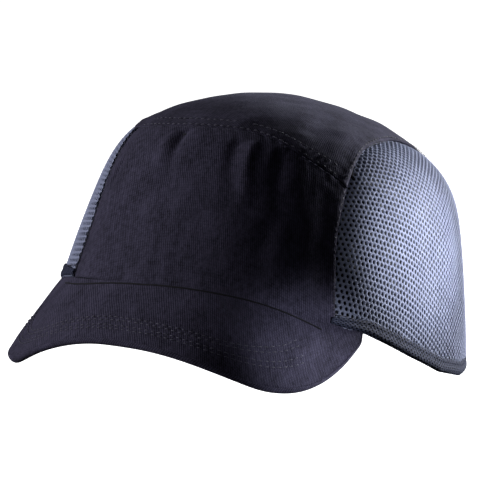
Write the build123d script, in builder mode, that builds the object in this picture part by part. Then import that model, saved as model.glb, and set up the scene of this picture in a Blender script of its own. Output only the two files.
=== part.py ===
from build123d import *
import math
import os

# Bump cap: a cloth cap with a peak, two mesh sides and a strap at the nape, and inside it a hard
# shell with pads and a sweatband that slides out downwards. Millimetres and degrees. +Z is up, the
# peak points along -Y and the wearer's left is +X. The origin is the middle of the head opening.

os.makedirs("parts", exist_ok=True)

# ---------------------------------------------------------------------------------------------
# Driving dimensions
# ---------------------------------------------------------------------------------------------

# The crown, in its own frame, which leans back by CROWN_TILT
CROWN_TILT = 16.1
HALF_WIDTH = 86.0
HALF_LENGTH = 108.0
CROWN_HEIGHT = 100.3
PLAN_POWER = 2.2
WALL_TAPER = 0.213
SHOULDER_POWER = 6.23
SHOULDER_ROOT = 1.474
LOFT_LEVELS = (-0.45, -0.2, 0.0, 0.2, 0.4, 0.55, 0.7, 0.8, 0.88, 0.94, 0.98)
SECTION_POINTS = 16

# Layers, as depths below the outer face of the cloth
CLOTH = 1.2
TAPE_DEPTH = 1.6
LINING_DEPTH = 2.0
BROW_TAPE_DEPTH = 2.4
SHELL_TOP = 2.8
SHELL_DEPTH = 5.0
SWEATBAND_DEPTH = 7.4
PAD_DEPTH = 9.2
BINDING_OUT = 0.6
BINDING_DEPTH = 1.9

# Seam and edge lines, seen from the side as (y, z) or from above as (x, y)
RIM_LINE = [(-125, 33), (-103, 32), (-76, 21.4), (-41.5, 7.4), (-13, -8.7), (13, -22), (40, -31), (72, -35.5),
            (125, -37)]
TEMPLE_LINE = [(-66, -5), (-57.3, 14.5), (-45, 49), (-30, 71)]
BROW_TOP = (-59, 103)
STRIP_EDGE = [(70, -75), (64, -30), (57.5, -5), (50.5, 30), (47, 65), (44, 130)]
SHELL_EDGE = [(-125, 44), (-100, 40), (-60, 25), (-20, 6), (20, -8), (60, -10), (95, 3), (125, 8)]
TAPE_WIDTH = 12.0
HEM_HEIGHT = 9.0
HEM_DROP = 0.8
HEM_START_Y = -43.8
BINDING_REACH = 8.0

# The opening at the nape and its strap, round an upright axis behind the crown's middle
ARCH_HALF_WIDTH = 38.0
ARCH_TOP = 6.0
STRAP_AXIS_Y = 26.0
STRAP_RADIUS = 81.8
STRAP_MID = 5.0
STRAP_WIDTH = 20.0
STRAP_LEAN = 0.229
LOOP_TAB_ANGLES = (48.0, 114.0)
LOOP_PATCH_ANGLES = (57.0, 112.0)
HOOK_PATCH_ANGLES = (71.0, 115.0)
CLOSURE_TAB_ANGLES = (69.0, 146.0)
SLEEVE_ANGLES = (123.0, 156.0)
TUNNEL_ANGLES = (122.0, 154.0)
TAB_THICKNESS = 1.0
PATCH_THICKNESS = 0.6
PATCH_GAP = 0.3
PATCH_INSET = 1.5
SLEEVE_WALL = 0.8
SLEEVE_GAP = 0.4

# The peak: an arch carried forwards and down, trimmed to its outline
PEAK_CENTRE = (-102.6, 32.0)
PEAK_SLOPE = 0.62
PEAK_ARCH = 23.3
PEAK_ARCH_AT = 60.0
PEAK_ARCH_POWER = 2.8
PEAK_HALF_WIDTH = 83.5
PEAK_BACK_Y = -44.0
PEAK_REACH = 87.0
PEAK_OUTLINE_POWER = 2.8
PEAK_COVER = 0.9
PEAK_BOARD = 2.2
PEAK_EDGE = 1.8
PEAK_START_Y = -20.0

# The insert: vents, pads, sweatband and fastening dots, seen from above or up from the shell's edge
VENT_LENGTH = 26.0
VENT_WIDTH = 6.0
VENT_COLUMNS = (-38.0, -19.0, 19.0, 38.0)
VENT_ROWS = (-36.0, 2.0, 40.0)
PAD_GLUE = 0.1
CROWN_PAD_LENGTH = 92.0
CROWN_PAD_WIDTHS = {"middle": (0.0, 24.0), "left": (28.5, 10.0), "right": (-28.5, 10.0)}
CROWN_PAD_Y = 6.0
LOW_PAD_RISE = (4.0, 40.0)
SIDE_PAD_Y = (8.0, 62.0)
REAR_PAD_HALF = 34.0
REAR_PAD_Y = 78.0
BROW_PAD_RISE = (26.0, 48.0)
BROW_PAD_HALF = 42.0
BROW_PAD_Y = -40.0
SWEATBAND_RISE = (-7.0, 22.0)
SWEATBAND_BACK_Y = 4.0
DOT_RADIUS = 6.0
DOT_PLACES = ((-28.5, -17.0), (28.5, -17.0), (-28.5, 21.0), (28.5, 21.0))
LOOP_DOT_THICKNESS = 0.6
HOOK_DOT_THICKNESS = 0.5

FAR = 160.0
CROWN = Plane(
    origin=(0, 0, 0),
    x_dir=(1, 0, 0),
    z_dir=(0, math.sin(math.radians(CROWN_TILT)), math.cos(math.radians(CROWN_TILT))),
)


# ---------------------------------------------------------------------------------------------
# Shared shapes
# ---------------------------------------------------------------------------------------------

def crown_radius(level):
    """Size of the crown's ring at level * CROWN_HEIGHT, as a share of its datum ring."""
    taper = 1.0 - WALL_TAPER * level
    if level <= 0:
        return taper
    return taper * (1.0 - level**SHOULDER_POWER) ** (1.0 / SHOULDER_ROOT)


def ring_points(half_x, half_y):
    """Points of a superellipse ring, counter-clockwise."""
    points = []
    for step in range(SECTION_POINTS):
        angle = 2 * math.pi * step / SECTION_POINTS
        c, s = math.cos(angle), math.sin(angle)
        reach = (abs(c) ** PLAN_POWER + abs(s) ** PLAN_POWER) ** (-1.0 / PLAN_POWER)
        points.append((half_x * reach * c, half_y * reach * s))
    return points


def crown_solid(depth):
    """The crown as one solid, with every face `depth` below the outer face of the cloth."""
    height = CROWN_HEIGHT - depth
    with BuildPart() as solid:
        for level in LOFT_LEVELS:
            share = crown_radius(level)
            with BuildSketch(CROWN.offset(level * height)):
                with BuildLine():
                    half_x = HALF_WIDTH * share - depth * share**0.25
                    half_y = HALF_LENGTH * share - depth * share**0.25
                    Spline(*ring_points(half_x, half_y), periodic=True)
                make_face()
        apex = CROWN.from_local_coords(Vector(0, 0, height))
        sections = solid.pending_faces + [Vertex(apex.X, apex.Y, apex.Z)]
        loft(sections=sections)
    return solid.part


def layer(outer_depth, inner_depth):
    """The skin between two depths, over the whole crown."""
    with BuildPart() as skin:
        add(crown_solid(outer_depth))
        add(crown_solid(inner_depth), mode=Mode.SUBTRACT)
    return skin.part


def side_region(outline):
    """Everything inside a side-view outline, which is a list of edges drawn by `outline`."""
    with BuildPart() as region:
        with BuildSketch(Plane.YZ):
            with BuildLine():
                outline()
            make_face()
        extrude(amount=FAR, both=True)
    return region.part


def above_line(points, lift=0.0):
    """Everything above a side-view line."""
    raised = [(y, z + lift) for y, z in points]

    def outline():
        Spline(*raised)
        Polyline(raised[-1], (raised[-1][0], FAR), (raised[0][0], FAR), raised[0])

    return side_region(outline)


def side_band(points, width):
    """A band along a side-view line, as wide as a tape."""
    with BuildPart() as band:
        with BuildSketch(Plane.YZ):
            with BuildLine():
                Spline(*points)
            trace(line_width=width)
        extrude(amount=FAR, both=True)
    return band.part


def half_space(sign):
    """The wearer's left half (+1) or right half (-1)."""
    with BuildPart() as half:
        with Locations((sign * FAR / 2, 0, 0)):
            Box(FAR, 3 * FAR, 3 * FAR)
    return half.part


def upright_slots(places, length, width):
    """Upright round-ended slots, long from front to back, at places seen from above."""
    with BuildPart() as slots:
        with BuildSketch(Plane.XY):
            with Locations(*places):
                SlotOverall(length, width, rotation=90)
        extrude(amount=FAR)
    return slots.part


def upright_block(half_x, y_low, y_high):
    """An upright block from -half_x to half_x and from y_low to y_high."""
    with BuildPart() as block:
        with Locations((0, (y_low + y_high) / 2, 0)):
            Box(2 * half_x, y_high - y_low, 2 * FAR)
    return block.part


def cut_out(skin, keeps, drops=()):
    """A piece of a skin: inside every region in `keeps`, outside every one in `drops`."""
    with BuildPart() as piece:
        add(skin)
        for region in keeps:
            add(region, mode=Mode.INTERSECT)
        for region in drops:
            add(region, mode=Mode.SUBTRACT)
    return piece.part


LEFT = half_space(+1)
RIGHT = half_space(-1)
SIDES = {"left": LEFT, "right": RIGHT}


# ---------------------------------------------------------------------------------------------
# Regions of the crown
# ---------------------------------------------------------------------------------------------

above_rim = above_line(RIM_LINE)


def front_outline():
    corner = TEMPLE_LINE[-1]
    foot = TEMPLE_LINE[0]
    Spline(*TEMPLE_LINE)
    Polyline(corner, BROW_TOP, (BROW_TOP[0], FAR), (-FAR, FAR), (-FAR, -FAR), (foot[0], -FAR), foot)


front_region = side_region(front_outline)

with BuildPart() as strip_body:
    with BuildSketch(Plane.XY.offset(-FAR)):
        with BuildLine():
            Spline(*STRIP_EDGE)
            Spline(*[(-x, y) for x, y in STRIP_EDGE])
            Line(STRIP_EDGE[0], (-STRIP_EDGE[0][0], STRIP_EDGE[0][1]))
            Line(STRIP_EDGE[-1], (-STRIP_EDGE[-1][0], STRIP_EDGE[-1][1]))
        make_face()
    extrude(amount=2 * FAR)
strip_region = strip_body.part


def arch_region(grow):
    """The nape opening, seen from behind, grown outwards by `grow`."""
    with BuildPart() as arch:
        with BuildSketch(Plane.XZ):
            with BuildLine():
                half = ARCH_HALF_WIDTH + grow
                top = ARCH_TOP + grow
                base = ARCH_TOP - ARCH_HALF_WIDTH
                Line((-half, -FAR), (half, -FAR))
                Line((half, -FAR), (half, base))
                EllipticalCenterArc((0, base), half, top - base, 0, arc_size=180)
                Line((-half, base), (-half, -FAR))
            make_face()
        extrude(amount=-FAR)
    return arch.part


arch_opening = arch_region(0.0)

# ---------------------------------------------------------------------------------------------
# The cloth cap: panels, bindings and the tapes over the seams inside
# ---------------------------------------------------------------------------------------------

pieces = {}

cloth_skin = layer(0.0, CLOTH)
tape_skin = layer(CLOTH, TAPE_DEPTH)
lining_skin = layer(TAPE_DEPTH, LINING_DEPTH)
brow_tape_skin = layer(LINING_DEPTH, BROW_TAPE_DEPTH)
binding_skin = layer(-BINDING_OUT, BINDING_DEPTH)

trimmed_cloth = cut_out(cloth_skin, [above_rim], [arch_opening])
pieces["front_panel"] = cut_out(cloth_skin, [above_rim, front_region])
pieces["crown_strip"] = cut_out(cloth_skin, [above_rim, strip_region], [front_region, arch_opening])
for side, half in SIDES.items():
    outside = [front_region, strip_region, arch_opening]
    pieces[f"side_mesh_{side}"] = cut_out(cloth_skin, [above_rim, half], outside)

# The tapes stop short of the rim, so that they clear the folded hem
above_hem = above_line(RIM_LINE, HEM_HEIGHT)
brow_band = side_band([TEMPLE_LINE[-1], BROW_TOP], TAPE_WIDTH)
temple_band = side_band(TEMPLE_LINE, TAPE_WIDTH)
with BuildPart() as strip_edge_bands:
    with BuildSketch(Plane.XY.offset(-FAR)):
        with BuildLine():
            Spline(*STRIP_EDGE)
            Spline(*[(-x, y) for x, y in STRIP_EDGE])
        trace(line_width=TAPE_WIDTH)
    extrude(amount=2 * FAR)
edge_bands = strip_edge_bands.part

pieces["seam_tape_brow"] = cut_out(tape_skin, [brow_band, strip_region])
for side, half in SIDES.items():
    crossed = [brow_band]
    pieces[f"seam_tape_temple_{side}"] = cut_out(tape_skin, [temple_band, half, above_hem], crossed)
    crossed = [brow_band, temple_band, front_region, arch_region(BINDING_REACH)]
    pieces[f"seam_tape_top_{side}"] = cut_out(tape_skin, [edge_bands, half, above_hem], crossed)

pieces["front_lining"] = cut_out(lining_skin, [front_region, above_line(RIM_LINE, 0.5)])
below_brow_tape = above_line(RIM_LINE, TAPE_WIDTH)
pieces["peak_seam_tape"] = cut_out(
    brow_tape_skin, [front_region, above_line(RIM_LINE, 0.5)], [below_brow_tape]
)

# The hems fold round the bottom edge of the cloth behind the peak, up to the nape opening
hem_band = above_line(RIM_LINE, -HEM_DROP)
nape_binding_outer = arch_region(BINDING_REACH)
nape_binding_inner = arch_region(-HEM_DROP)
behind_peak = upright_block(FAR, HEM_START_Y, FAR)
for side, half in SIDES.items():
    wrapped = [above_hem, trimmed_cloth, nape_binding_outer]
    pieces[f"hem_binding_{side}"] = cut_out(binding_skin, [hem_band, half, behind_peak], wrapped)
pieces["rear_arch_binding"] = cut_out(
    binding_skin,
    [hem_band, nape_binding_outer, behind_peak],
    [nape_binding_inner, trimmed_cloth],
)

# ---------------------------------------------------------------------------------------------
# The strap at the nape
# ---------------------------------------------------------------------------------------------

strap_centre = CROWN.from_local_coords(Vector(0, STRAP_AXIS_Y, 0))
strap_axis = Axis(strap_centre, CROWN.z_dir)


def strap_ring(radius_in, radius_out, height_low, height_high, angles):
    """A length of strap: a leaning section swept round the strap's axis between two angles."""
    start, end = angles
    turn = math.radians(start)
    outward = CROWN.x_dir * math.cos(turn) + CROWN.y_dir * math.sin(turn)
    section = Plane(origin=strap_centre, x_dir=outward, z_dir=outward.cross(CROWN.z_dir))

    def lean(radius, height):
        return (radius - STRAP_LEAN * (height - STRAP_MID), height)

    with BuildPart() as ring:
        with BuildSketch(section):
            with BuildLine():
                Polyline(
                    lean(radius_in, height_low),
                    lean(radius_out, height_low),
                    lean(radius_out, height_high),
                    lean(radius_in, height_high),
                    close=True,
                )
            make_face()
        revolve(axis=strap_axis, revolution_arc=end - start)
    return ring.part


strap_low = STRAP_MID - STRAP_WIDTH / 2
strap_high = STRAP_MID + STRAP_WIDTH / 2
loop_tab_in = STRAP_RADIUS + SLEEVE_WALL
loop_tab_out = loop_tab_in + TAB_THICKNESS
loop_patch_out = loop_tab_out + PATCH_THICKNESS
hook_patch_in = loop_patch_out + PATCH_GAP
hook_patch_out = hook_patch_in + PATCH_THICKNESS
closure_tab_out = hook_patch_out + TAB_THICKNESS
cloth_outside = crown_solid(-BINDING_OUT - 0.05)

patch_low = strap_low + PATCH_INSET
patch_high = strap_high - PATCH_INSET

with BuildPart() as loop_tab:
    add(strap_ring(loop_tab_in, loop_tab_out, strap_low, strap_high, LOOP_TAB_ANGLES))
    add(cloth_outside, mode=Mode.SUBTRACT)
pieces["loop_tab"] = loop_tab.part
pieces["loop_patch"] = strap_ring(loop_tab_out, loop_patch_out, patch_low, patch_high, LOOP_PATCH_ANGLES)
pieces["hook_patch"] = strap_ring(hook_patch_in, hook_patch_out, patch_low, patch_high, HOOK_PATCH_ANGLES)
pieces["closure_tab"] = strap_ring(
    hook_patch_out, closure_tab_out, strap_low, strap_high, CLOSURE_TAB_ANGLES)

tunnel_low = strap_low - SLEEVE_GAP
tunnel_high = strap_high + SLEEVE_GAP
tunnel_in = hook_patch_out - SLEEVE_GAP
tunnel_out = closure_tab_out + SLEEVE_GAP
with BuildPart() as strap_sleeve:
    add(
        strap_ring(
            loop_tab_in,
            tunnel_out + SLEEVE_WALL,
            tunnel_low - SLEEVE_WALL,
            tunnel_high + SLEEVE_WALL,
            SLEEVE_ANGLES,
        )
    )
    add(
        strap_ring(tunnel_in, tunnel_out, tunnel_low, tunnel_high, TUNNEL_ANGLES),
        mode=Mode.SUBTRACT,
    )
    add(cloth_outside, mode=Mode.SUBTRACT)
pieces["strap_sleeve"] = strap_sleeve.part

# ---------------------------------------------------------------------------------------------
# The peak: cover, board, cover, and the turned seam round its edge
# ---------------------------------------------------------------------------------------------


def peak_arch_drop(x):
    """How far the arch falls below its middle at a distance x from it."""
    return PEAK_ARCH * (abs(x) / PEAK_ARCH_AT) ** PEAK_ARCH_POWER


def peak_layer(depth_top, depth_bottom):
    """The peak's sheet between two depths, untrimmed: an arch carried forwards and down."""
    start_z = PEAK_CENTRE[1] + PEAK_SLOPE * (PEAK_START_Y - PEAK_CENTRE[0])
    reach = 1.15 * PEAK_HALF_WIDTH
    stations = [reach * share for share in (-1, -0.85, -0.65, -0.4, -0.2, 0, 0.2, 0.4, 0.65, 0.85, 1)]
    upper = [(x, start_z - peak_arch_drop(x) - depth_top) for x in stations]
    lower = [(x, start_z - peak_arch_drop(x) - depth_bottom) for x in stations]
    with BuildPart() as sheet:
        with BuildSketch(Plane.XZ.offset(-PEAK_START_Y)):
            with BuildLine():
                Spline(*upper)
                Line(upper[-1], lower[-1])
                Spline(*lower)
                Line(lower[0], upper[0])
            make_face()
        extrude(amount=FAR, dir=(0, -1, -PEAK_SLOPE))
    return sheet.part


def peak_outline(inset):
    """The peak's outline seen from above, as a solid, `inset` inside the edge."""
    half_width = PEAK_HALF_WIDTH - inset
    reach = PEAK_REACH - inset
    points = []
    for step in range(-8, 9):
        turn = math.radians(90 * step / 8)
        side = math.copysign(abs(math.sin(turn)) ** (2 / PEAK_OUTLINE_POWER), turn)
        ahead = abs(math.cos(turn)) ** (2 / PEAK_OUTLINE_POWER)
        points.append((half_width * side, PEAK_BACK_Y - reach * ahead))
    with BuildPart() as prism:
        with BuildSketch(Plane.XY.offset(-FAR)):
            with BuildLine():
                Spline(*points)
                Line(points[-1], points[0])
            make_face()
        extrude(amount=2 * FAR)
    return prism.part


whole_outline = peak_outline(0.0)
board_outline = peak_outline(PEAK_EDGE)
crown_body = crown_solid(0.0)
board_bottom = PEAK_COVER + PEAK_BOARD
top_sheet = peak_layer(0, PEAK_COVER)
board_sheet = peak_layer(PEAK_COVER, board_bottom)
under_sheet = peak_layer(board_bottom, board_bottom + PEAK_COVER)
pieces["peak_top_cover"] = cut_out(top_sheet, [whole_outline], [crown_body])
pieces["peak_board"] = cut_out(board_sheet, [board_outline], [crown_body])
pieces["peak_edge_roll"] = cut_out(board_sheet, [whole_outline], [board_outline, crown_body])
pieces["peak_under_cover"] = cut_out(under_sheet, [whole_outline], [crown_body])

# ---------------------------------------------------------------------------------------------
# The insert: shell, pads, sweatband and fastening dots
# ---------------------------------------------------------------------------------------------

shell_skin = layer(SHELL_TOP, SHELL_DEPTH)
pad_skin = layer(SHELL_DEPTH + PAD_GLUE, PAD_DEPTH)
sweatband_skin = layer(SHELL_DEPTH + PAD_GLUE, SWEATBAND_DEPTH)

vent_places = [(x, y) for x in VENT_COLUMNS for y in VENT_ROWS]
vents = upright_slots(vent_places, VENT_LENGTH, VENT_WIDTH)
pieces["bump_shell"] = cut_out(shell_skin, [above_line(SHELL_EDGE)], [vents])

for place, (pad_x, pad_width) in CROWN_PAD_WIDTHS.items():
    outline = upright_slots([(pad_x, CROWN_PAD_Y)], CROWN_PAD_LENGTH, pad_width)
    pieces[f"crown_pad_{place}"] = cut_out(pad_skin, [outline])

above_low_pads = above_line(SHELL_EDGE, LOW_PAD_RISE[0])
over_low_pads = above_line(SHELL_EDGE, LOW_PAD_RISE[1])
side_block = upright_block(FAR, *SIDE_PAD_Y)
for side, half in SIDES.items():
    pieces[f"side_pad_{side}"] = cut_out(pad_skin, [above_low_pads, side_block, half], [over_low_pads])
rear_block = upright_block(REAR_PAD_HALF, REAR_PAD_Y, FAR)
pieces["rear_pad"] = cut_out(pad_skin, [above_low_pads, rear_block], [over_low_pads])

brow_block = upright_block(BROW_PAD_HALF, -FAR, BROW_PAD_Y)
pieces["brow_pad"] = cut_out(
    pad_skin,
    [above_line(SHELL_EDGE, BROW_PAD_RISE[0]), brow_block],
    [above_line(SHELL_EDGE, BROW_PAD_RISE[1])],
)
sweatband_block = upright_block(FAR, -FAR, SWEATBAND_BACK_Y)
pieces["sweatband"] = cut_out(
    sweatband_skin,
    [above_line(SHELL_EDGE, SWEATBAND_RISE[0]), sweatband_block],
    [above_line(SHELL_EDGE, SWEATBAND_RISE[1])],
)

dots = upright_slots(DOT_PLACES, 2 * DOT_RADIUS + 0.01, 2 * DOT_RADIUS)
pieces["insert_loop_dots"] = cut_out(layer(CLOTH, CLOTH + LOOP_DOT_THICKNESS), [dots])
pieces["insert_hook_dots"] = cut_out(layer(SHELL_TOP - HOOK_DOT_THICKNESS, SHELL_TOP), [dots])

# ---------------------------------------------------------------------------------------------
# Labels and files
# ---------------------------------------------------------------------------------------------

for name, part in pieces.items():
    part.label = name
    export_step(part, f"parts/{name}.step")
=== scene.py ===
"""The looks of a bump cap: a cloth cap with mesh sides over a vented shell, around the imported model.

Lengths are in millimetres and angles in degrees until a mesh is made, in metres.
X is to the wearer's left, -Y is the way the peak points, and Z is up.
"""
import math

import bmesh
import bpy
import numpy as np
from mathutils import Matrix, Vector
from mathutils.bvhtree import BVHTree


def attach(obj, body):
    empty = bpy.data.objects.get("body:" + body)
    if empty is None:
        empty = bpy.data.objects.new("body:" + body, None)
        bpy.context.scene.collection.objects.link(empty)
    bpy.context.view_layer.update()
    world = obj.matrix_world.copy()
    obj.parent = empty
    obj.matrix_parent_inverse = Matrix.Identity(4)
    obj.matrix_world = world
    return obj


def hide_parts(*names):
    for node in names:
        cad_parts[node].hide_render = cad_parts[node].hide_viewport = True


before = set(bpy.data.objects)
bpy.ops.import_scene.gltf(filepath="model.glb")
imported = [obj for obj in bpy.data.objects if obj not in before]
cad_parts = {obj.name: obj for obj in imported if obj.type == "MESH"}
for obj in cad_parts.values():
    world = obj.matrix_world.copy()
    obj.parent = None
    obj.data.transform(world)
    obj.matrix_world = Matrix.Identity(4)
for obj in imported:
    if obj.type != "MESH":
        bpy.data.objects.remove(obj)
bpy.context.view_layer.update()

MM = 0.001
SEED = 11
rng = np.random.default_rng(SEED)

# ---------------------------------------------------------------- the crown's shape, as in the CAD

CROWN_TILT = math.radians(16.1)
HALF_WIDTH = 86.0
HALF_LENGTH = 108.0
MEAN_HALF = (HALF_WIDTH + HALF_LENGTH) / 2
CROWN_HEIGHT = 100.3
PLAN_POWER = 2.2
WALL_TAPER = 0.213
SHOULDER_POWER = 6.23
SHOULDER_ROOT = 1.474

# The cloth's thickness, and the depths below the crown's outside where the other layers start or end.
CLOTH = 1.2
TAPE_DEPTH = 1.6
LINING_DEPTH = 2.0
SHELL_TOP = 2.8
SHELL_DEPTH = 5.0
SWEATBAND_DEPTH = 7.4
PAD_DEPTH = 9.2

# Side and top views of the crown's edges: (y, z), and for the strip over the top (x, y).
RIM_LINE = [(-125, 33), (-103, 32), (-76, 21.4), (-41.5, 7.4), (-13, -8.7),
            (13, -22), (40, -31), (72, -35.5), (125, -37)]
TEMPLE_LINE = [(-57.6, 13.9), (-45, 49), (-30.2, 70.9)]
STRIP_EDGE = [(64, -30), (57.5, -5), (50.5, 30), (47, 65), (44, 130)]
SHELL_EDGE = [(-125, 44), (-100, 40), (-60, 25), (-20, 6), (20, -8), (60, -10), (95, 3), (125, 8)]
# The seam over the forehead: degrees round the crown, and millimetres from the crown's top along the cloth.
BROW_LINE = [(-32.5, 95), (-46, 84), (-63, 74), (-84, 73.5), (-102, 76.2), (-116, 78.2), (-130, 81.8)]
# The wearer's-right temple seam sits further forward: degrees round the crown, at the rim and half way up.
RIGHT_TEMPLE = (-122.3, -122.8)

ARCH_HALF_WIDTH = 38.0
ARCH_TOP = 6.0
ARCH_BASE = -32.0


def rim_height(y):
    """The height of the crown's lower edge."""
    return np.interp(y, *np.array(RIM_LINE, float).T)


def shell_height(y):
    """The height of the shell's lower edge."""
    return np.interp(y, *np.array(SHELL_EDGE, float).T)


def strip_edge_x(y):
    """Half the width of the strip over the top."""
    return np.interp(y, *np.array(STRIP_EDGE, float).T[::-1])


def share(level):
    """How wide the crown is at a level, from 0 at the rim plane to 1 at the top."""
    upper = np.clip(level, 0, 1)
    return (1 - WALL_TAPER * level) * (1 - upper ** SHOULDER_POWER) ** (1 / SHOULDER_ROOT)


LOWEST_LEVEL = -0.8
LEVELS = 1 - np.linspace(0, (1 - LOWEST_LEVEL) ** (1 / 3), 6001) ** 3
MERIDIAN = np.concatenate([[0], np.cumsum(np.hypot(
    np.diff(MEAN_HALF * share(LEVELS)), np.diff(CROWN_HEIGHT * LEVELS)))])


def to_world(local):
    """From the crown's own frame, which leans back, to the shared frame."""
    x, y, z = np.moveaxis(np.asarray(local, float), -1, 0)
    cos, sin = math.cos(CROWN_TILT), math.sin(CROWN_TILT)
    return np.stack([x, y * cos + z * sin, z * cos - y * sin], -1)


def to_local(world):
    """From the shared frame to the crown's own."""
    x, y, z = np.moveaxis(np.asarray(world, float), -1, 0)
    cos, sin = math.cos(CROWN_TILT), math.sin(CROWN_TILT)
    return np.stack([x, y * cos - z * sin, y * sin + z * cos], -1)


def on_crown(chart, depth=0.0):
    """The crown's point, depth below its outside, for a chart point.

    A chart point says the direction round the crown and the distance along the cloth from the top.
    """
    chart = np.asarray(chart, float)
    along = np.hypot(chart[..., 0], chart[..., 1])
    turn = np.arctan2(chart[..., 1], chart[..., 0])
    level = np.interp(along, MERIDIAN, LEVELS)
    fade = share(level)
    half_x = HALF_WIDTH * fade - depth * fade ** 0.25
    half_y = HALF_LENGTH * fade - depth * fade ** 0.25
    cos, sin = np.cos(turn), np.sin(turn)
    swell = (np.abs(cos) ** PLAN_POWER + np.abs(sin) ** PLAN_POWER) ** (-1 / PLAN_POWER)
    return to_world(np.stack([half_x * swell * cos, half_y * swell * sin, level * (CROWN_HEIGHT - depth)], -1))


def crown_normal(chart):
    """The crown's outward direction at chart points."""
    step = 0.6
    across = on_crown(chart + np.array([step, 0])) - on_crown(chart - np.array([step, 0]))
    back = on_crown(chart + np.array([0, step])) - on_crown(chart - np.array([0, step]))
    return unit(np.cross(across, back))


def unit(vectors):
    """The vectors at length 1."""
    length = np.linalg.norm(vectors, axis=-1, keepdims=True)
    return vectors / np.maximum(length, 1e-9)


def polar(degrees, along):
    """Flat points, from a direction and a distance."""
    turn = np.radians(degrees)
    return np.stack([along * np.cos(turn), along * np.sin(turn)], -1)


def chart_of(world):
    """The chart points of points on the crown."""
    local = to_local(world)
    along = np.interp(-local[..., 2] / CROWN_HEIGHT, -LEVELS, MERIDIAN)
    turn = np.arctan2(local[..., 1] / HALF_LENGTH, local[..., 0] / HALF_WIDTH)
    return np.stack([along * np.cos(turn), along * np.sin(turn)], -1)


def other_reach(part):
    """How far the crown's plan reaches on one axis, as a share, where it is at part on the other."""
    return (1 - part ** PLAN_POWER) ** (1 / PLAN_POWER)


def side_chart(y, z):
    """Chart points on the wearer's left whose side view is (y, z)."""
    local = to_local(np.stack([np.zeros_like(y), y, z], -1))
    level = local[..., 2] / CROWN_HEIGHT
    part = np.clip(np.abs(local[..., 1]) / (HALF_LENGTH * share(level)), 0, 1)
    x = HALF_WIDTH * share(level) * other_reach(part)
    return chart_of(to_world(np.stack([x, local[..., 1], local[..., 2]], -1)))


def crossing(start, end, test):
    """The points between start and end where test goes from positive to negative."""
    low = np.zeros(len(end))
    high = np.ones(len(end))
    for _ in range(40):
        middle = (low + high) / 2
        inside = test(on_crown(start + (end - start) * middle[:, None])) > 0
        low = np.where(inside, middle, low)
        high = np.where(inside, high, middle)
    return start + (end - start) * low[:, None]


NEAR_TOP = 60.0
PAST_RIM = 230.0


def down_to(degrees, test):
    """The chart points at angles round the crown where test turns negative on the way down from the top."""
    degrees = np.asarray(degrees, float)
    return crossing(polar(degrees, NEAR_TOP), polar(degrees, PAST_RIM), test)


def above_rim(world):
    """Positive above the crown's lower edge."""
    return world[..., 2] - rim_height(world[..., 1])


def rim(degrees):
    """The crown's lower edge, at angles round the crown."""
    return down_to(degrees, above_rim)


def walk(points):
    """The distance walked along a line of points, at each of them."""
    return np.concatenate([[0], np.cumsum(np.linalg.norm(np.diff(points, axis=0), axis=1))])


def at_places(places, walked, values):
    """Rows of values at places between the walked ones."""
    return np.stack([np.interp(places, walked, column) for column in values.T], -1)


def even(points, count):
    """Points at even steps along a line of points."""
    walked = walk(points)
    return at_places(np.linspace(0, walked[-1], count), walked, points)


def line_length(chart_line):
    """The distance walked along a line of chart points, on the crown."""
    return walk(on_crown(chart_line))


def resample(chart_line, count):
    """Chart points at even steps along the cloth."""
    walked = line_length(chart_line)
    return at_places(np.linspace(0, walked[-1], count), walked, chart_line)


def smooth_line(points, count=160):
    """A smooth curve through a few points (Catmull-Rom)."""
    points = np.asarray(points, float)
    padded = np.vstack([2 * points[0] - points[1], points, 2 * points[-1] - points[-2]])
    places = np.linspace(0, len(points) - 1, count)
    first = np.minimum(places.astype(int), len(points) - 2)
    t = (places - first)[:, None]
    a, b, c, d = (padded[first + i] for i in range(4))
    return 0.5 * (2 * b + (c - a) * t + (2 * a - 5 * b + 4 * c - d) * t ** 2 + (3 * b - a - 3 * c + d) * t ** 3)


def mirrored(chart):
    """The same chart points on the other side of the cap."""
    return chart * np.array([-1, 1])


# ---------------------------------------------------------------- seam lines on the crown

temple_left = smooth_line([side_chart(np.array(float(y)), np.array(float(z))) for y, z in TEMPLE_LINE])
right_foot = rim([RIGHT_TEMPLE[0]])[0]
RIGHT_CORNER = polar(*BROW_LINE[-1])
right_middle = polar(RIGHT_TEMPLE[1], (np.linalg.norm(right_foot) + BROW_LINE[-1][1]) / 2)
temple_right = smooth_line([right_foot, right_middle, RIGHT_CORNER])
FRONT_CORNER = temple_left[0]
TOP_CORNER = temple_left[-1]
brow_points = [polar(angle, along) for angle, along in BROW_LINE[1:-1]]
brow_seam = smooth_line([TOP_CORNER] + brow_points + [RIGHT_CORNER], 300)[::-1]


def outside_strip(world):
    """Positive on the wearer's left of the strip over the top."""
    return world[..., 0] - strip_edge_x(world[..., 1])


# The strip's edge is found along rays from the middle of the side, and kept between the temple and the rim.
SIDE_MIDDLE = np.array([87.0, 23.0])
RAY_LENGTH = 150.0
EDGE_FRONT_Y = -27.0
rays = polar(np.linspace(262, 99, 420), RAY_LENGTH)
edge_points = crossing(SIDE_MIDDLE + 0 * rays, SIDE_MIDDLE + rays, outside_strip)
edge_world = on_crown(edge_points)
kept = (edge_world[:, 1] > EDGE_FRONT_Y) & (above_rim(edge_world) > 0.4)
kept &= np.abs(outside_strip(edge_world)) < 0.5
last_kept = edge_points[kept][-1]
edge_angle = math.degrees(math.atan2(last_kept[1], last_kept[0]))
BACK_CORNER = rim([edge_angle])[0]
top_edge_left = resample(np.vstack([TOP_CORNER, edge_points[kept], BACK_CORNER]), 400)

# On the right the edge bends from its own corner into the left one's mirror image.
RIGHT_BEND = polar(-143, 77.8)
mirror_edge = mirrored(top_edge_left)
bend = smooth_line([RIGHT_CORNER, RIGHT_BEND, mirror_edge[40]], 40)
top_edge_right = resample(np.vstack([bend, mirror_edge[43:]]), 440)

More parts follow.
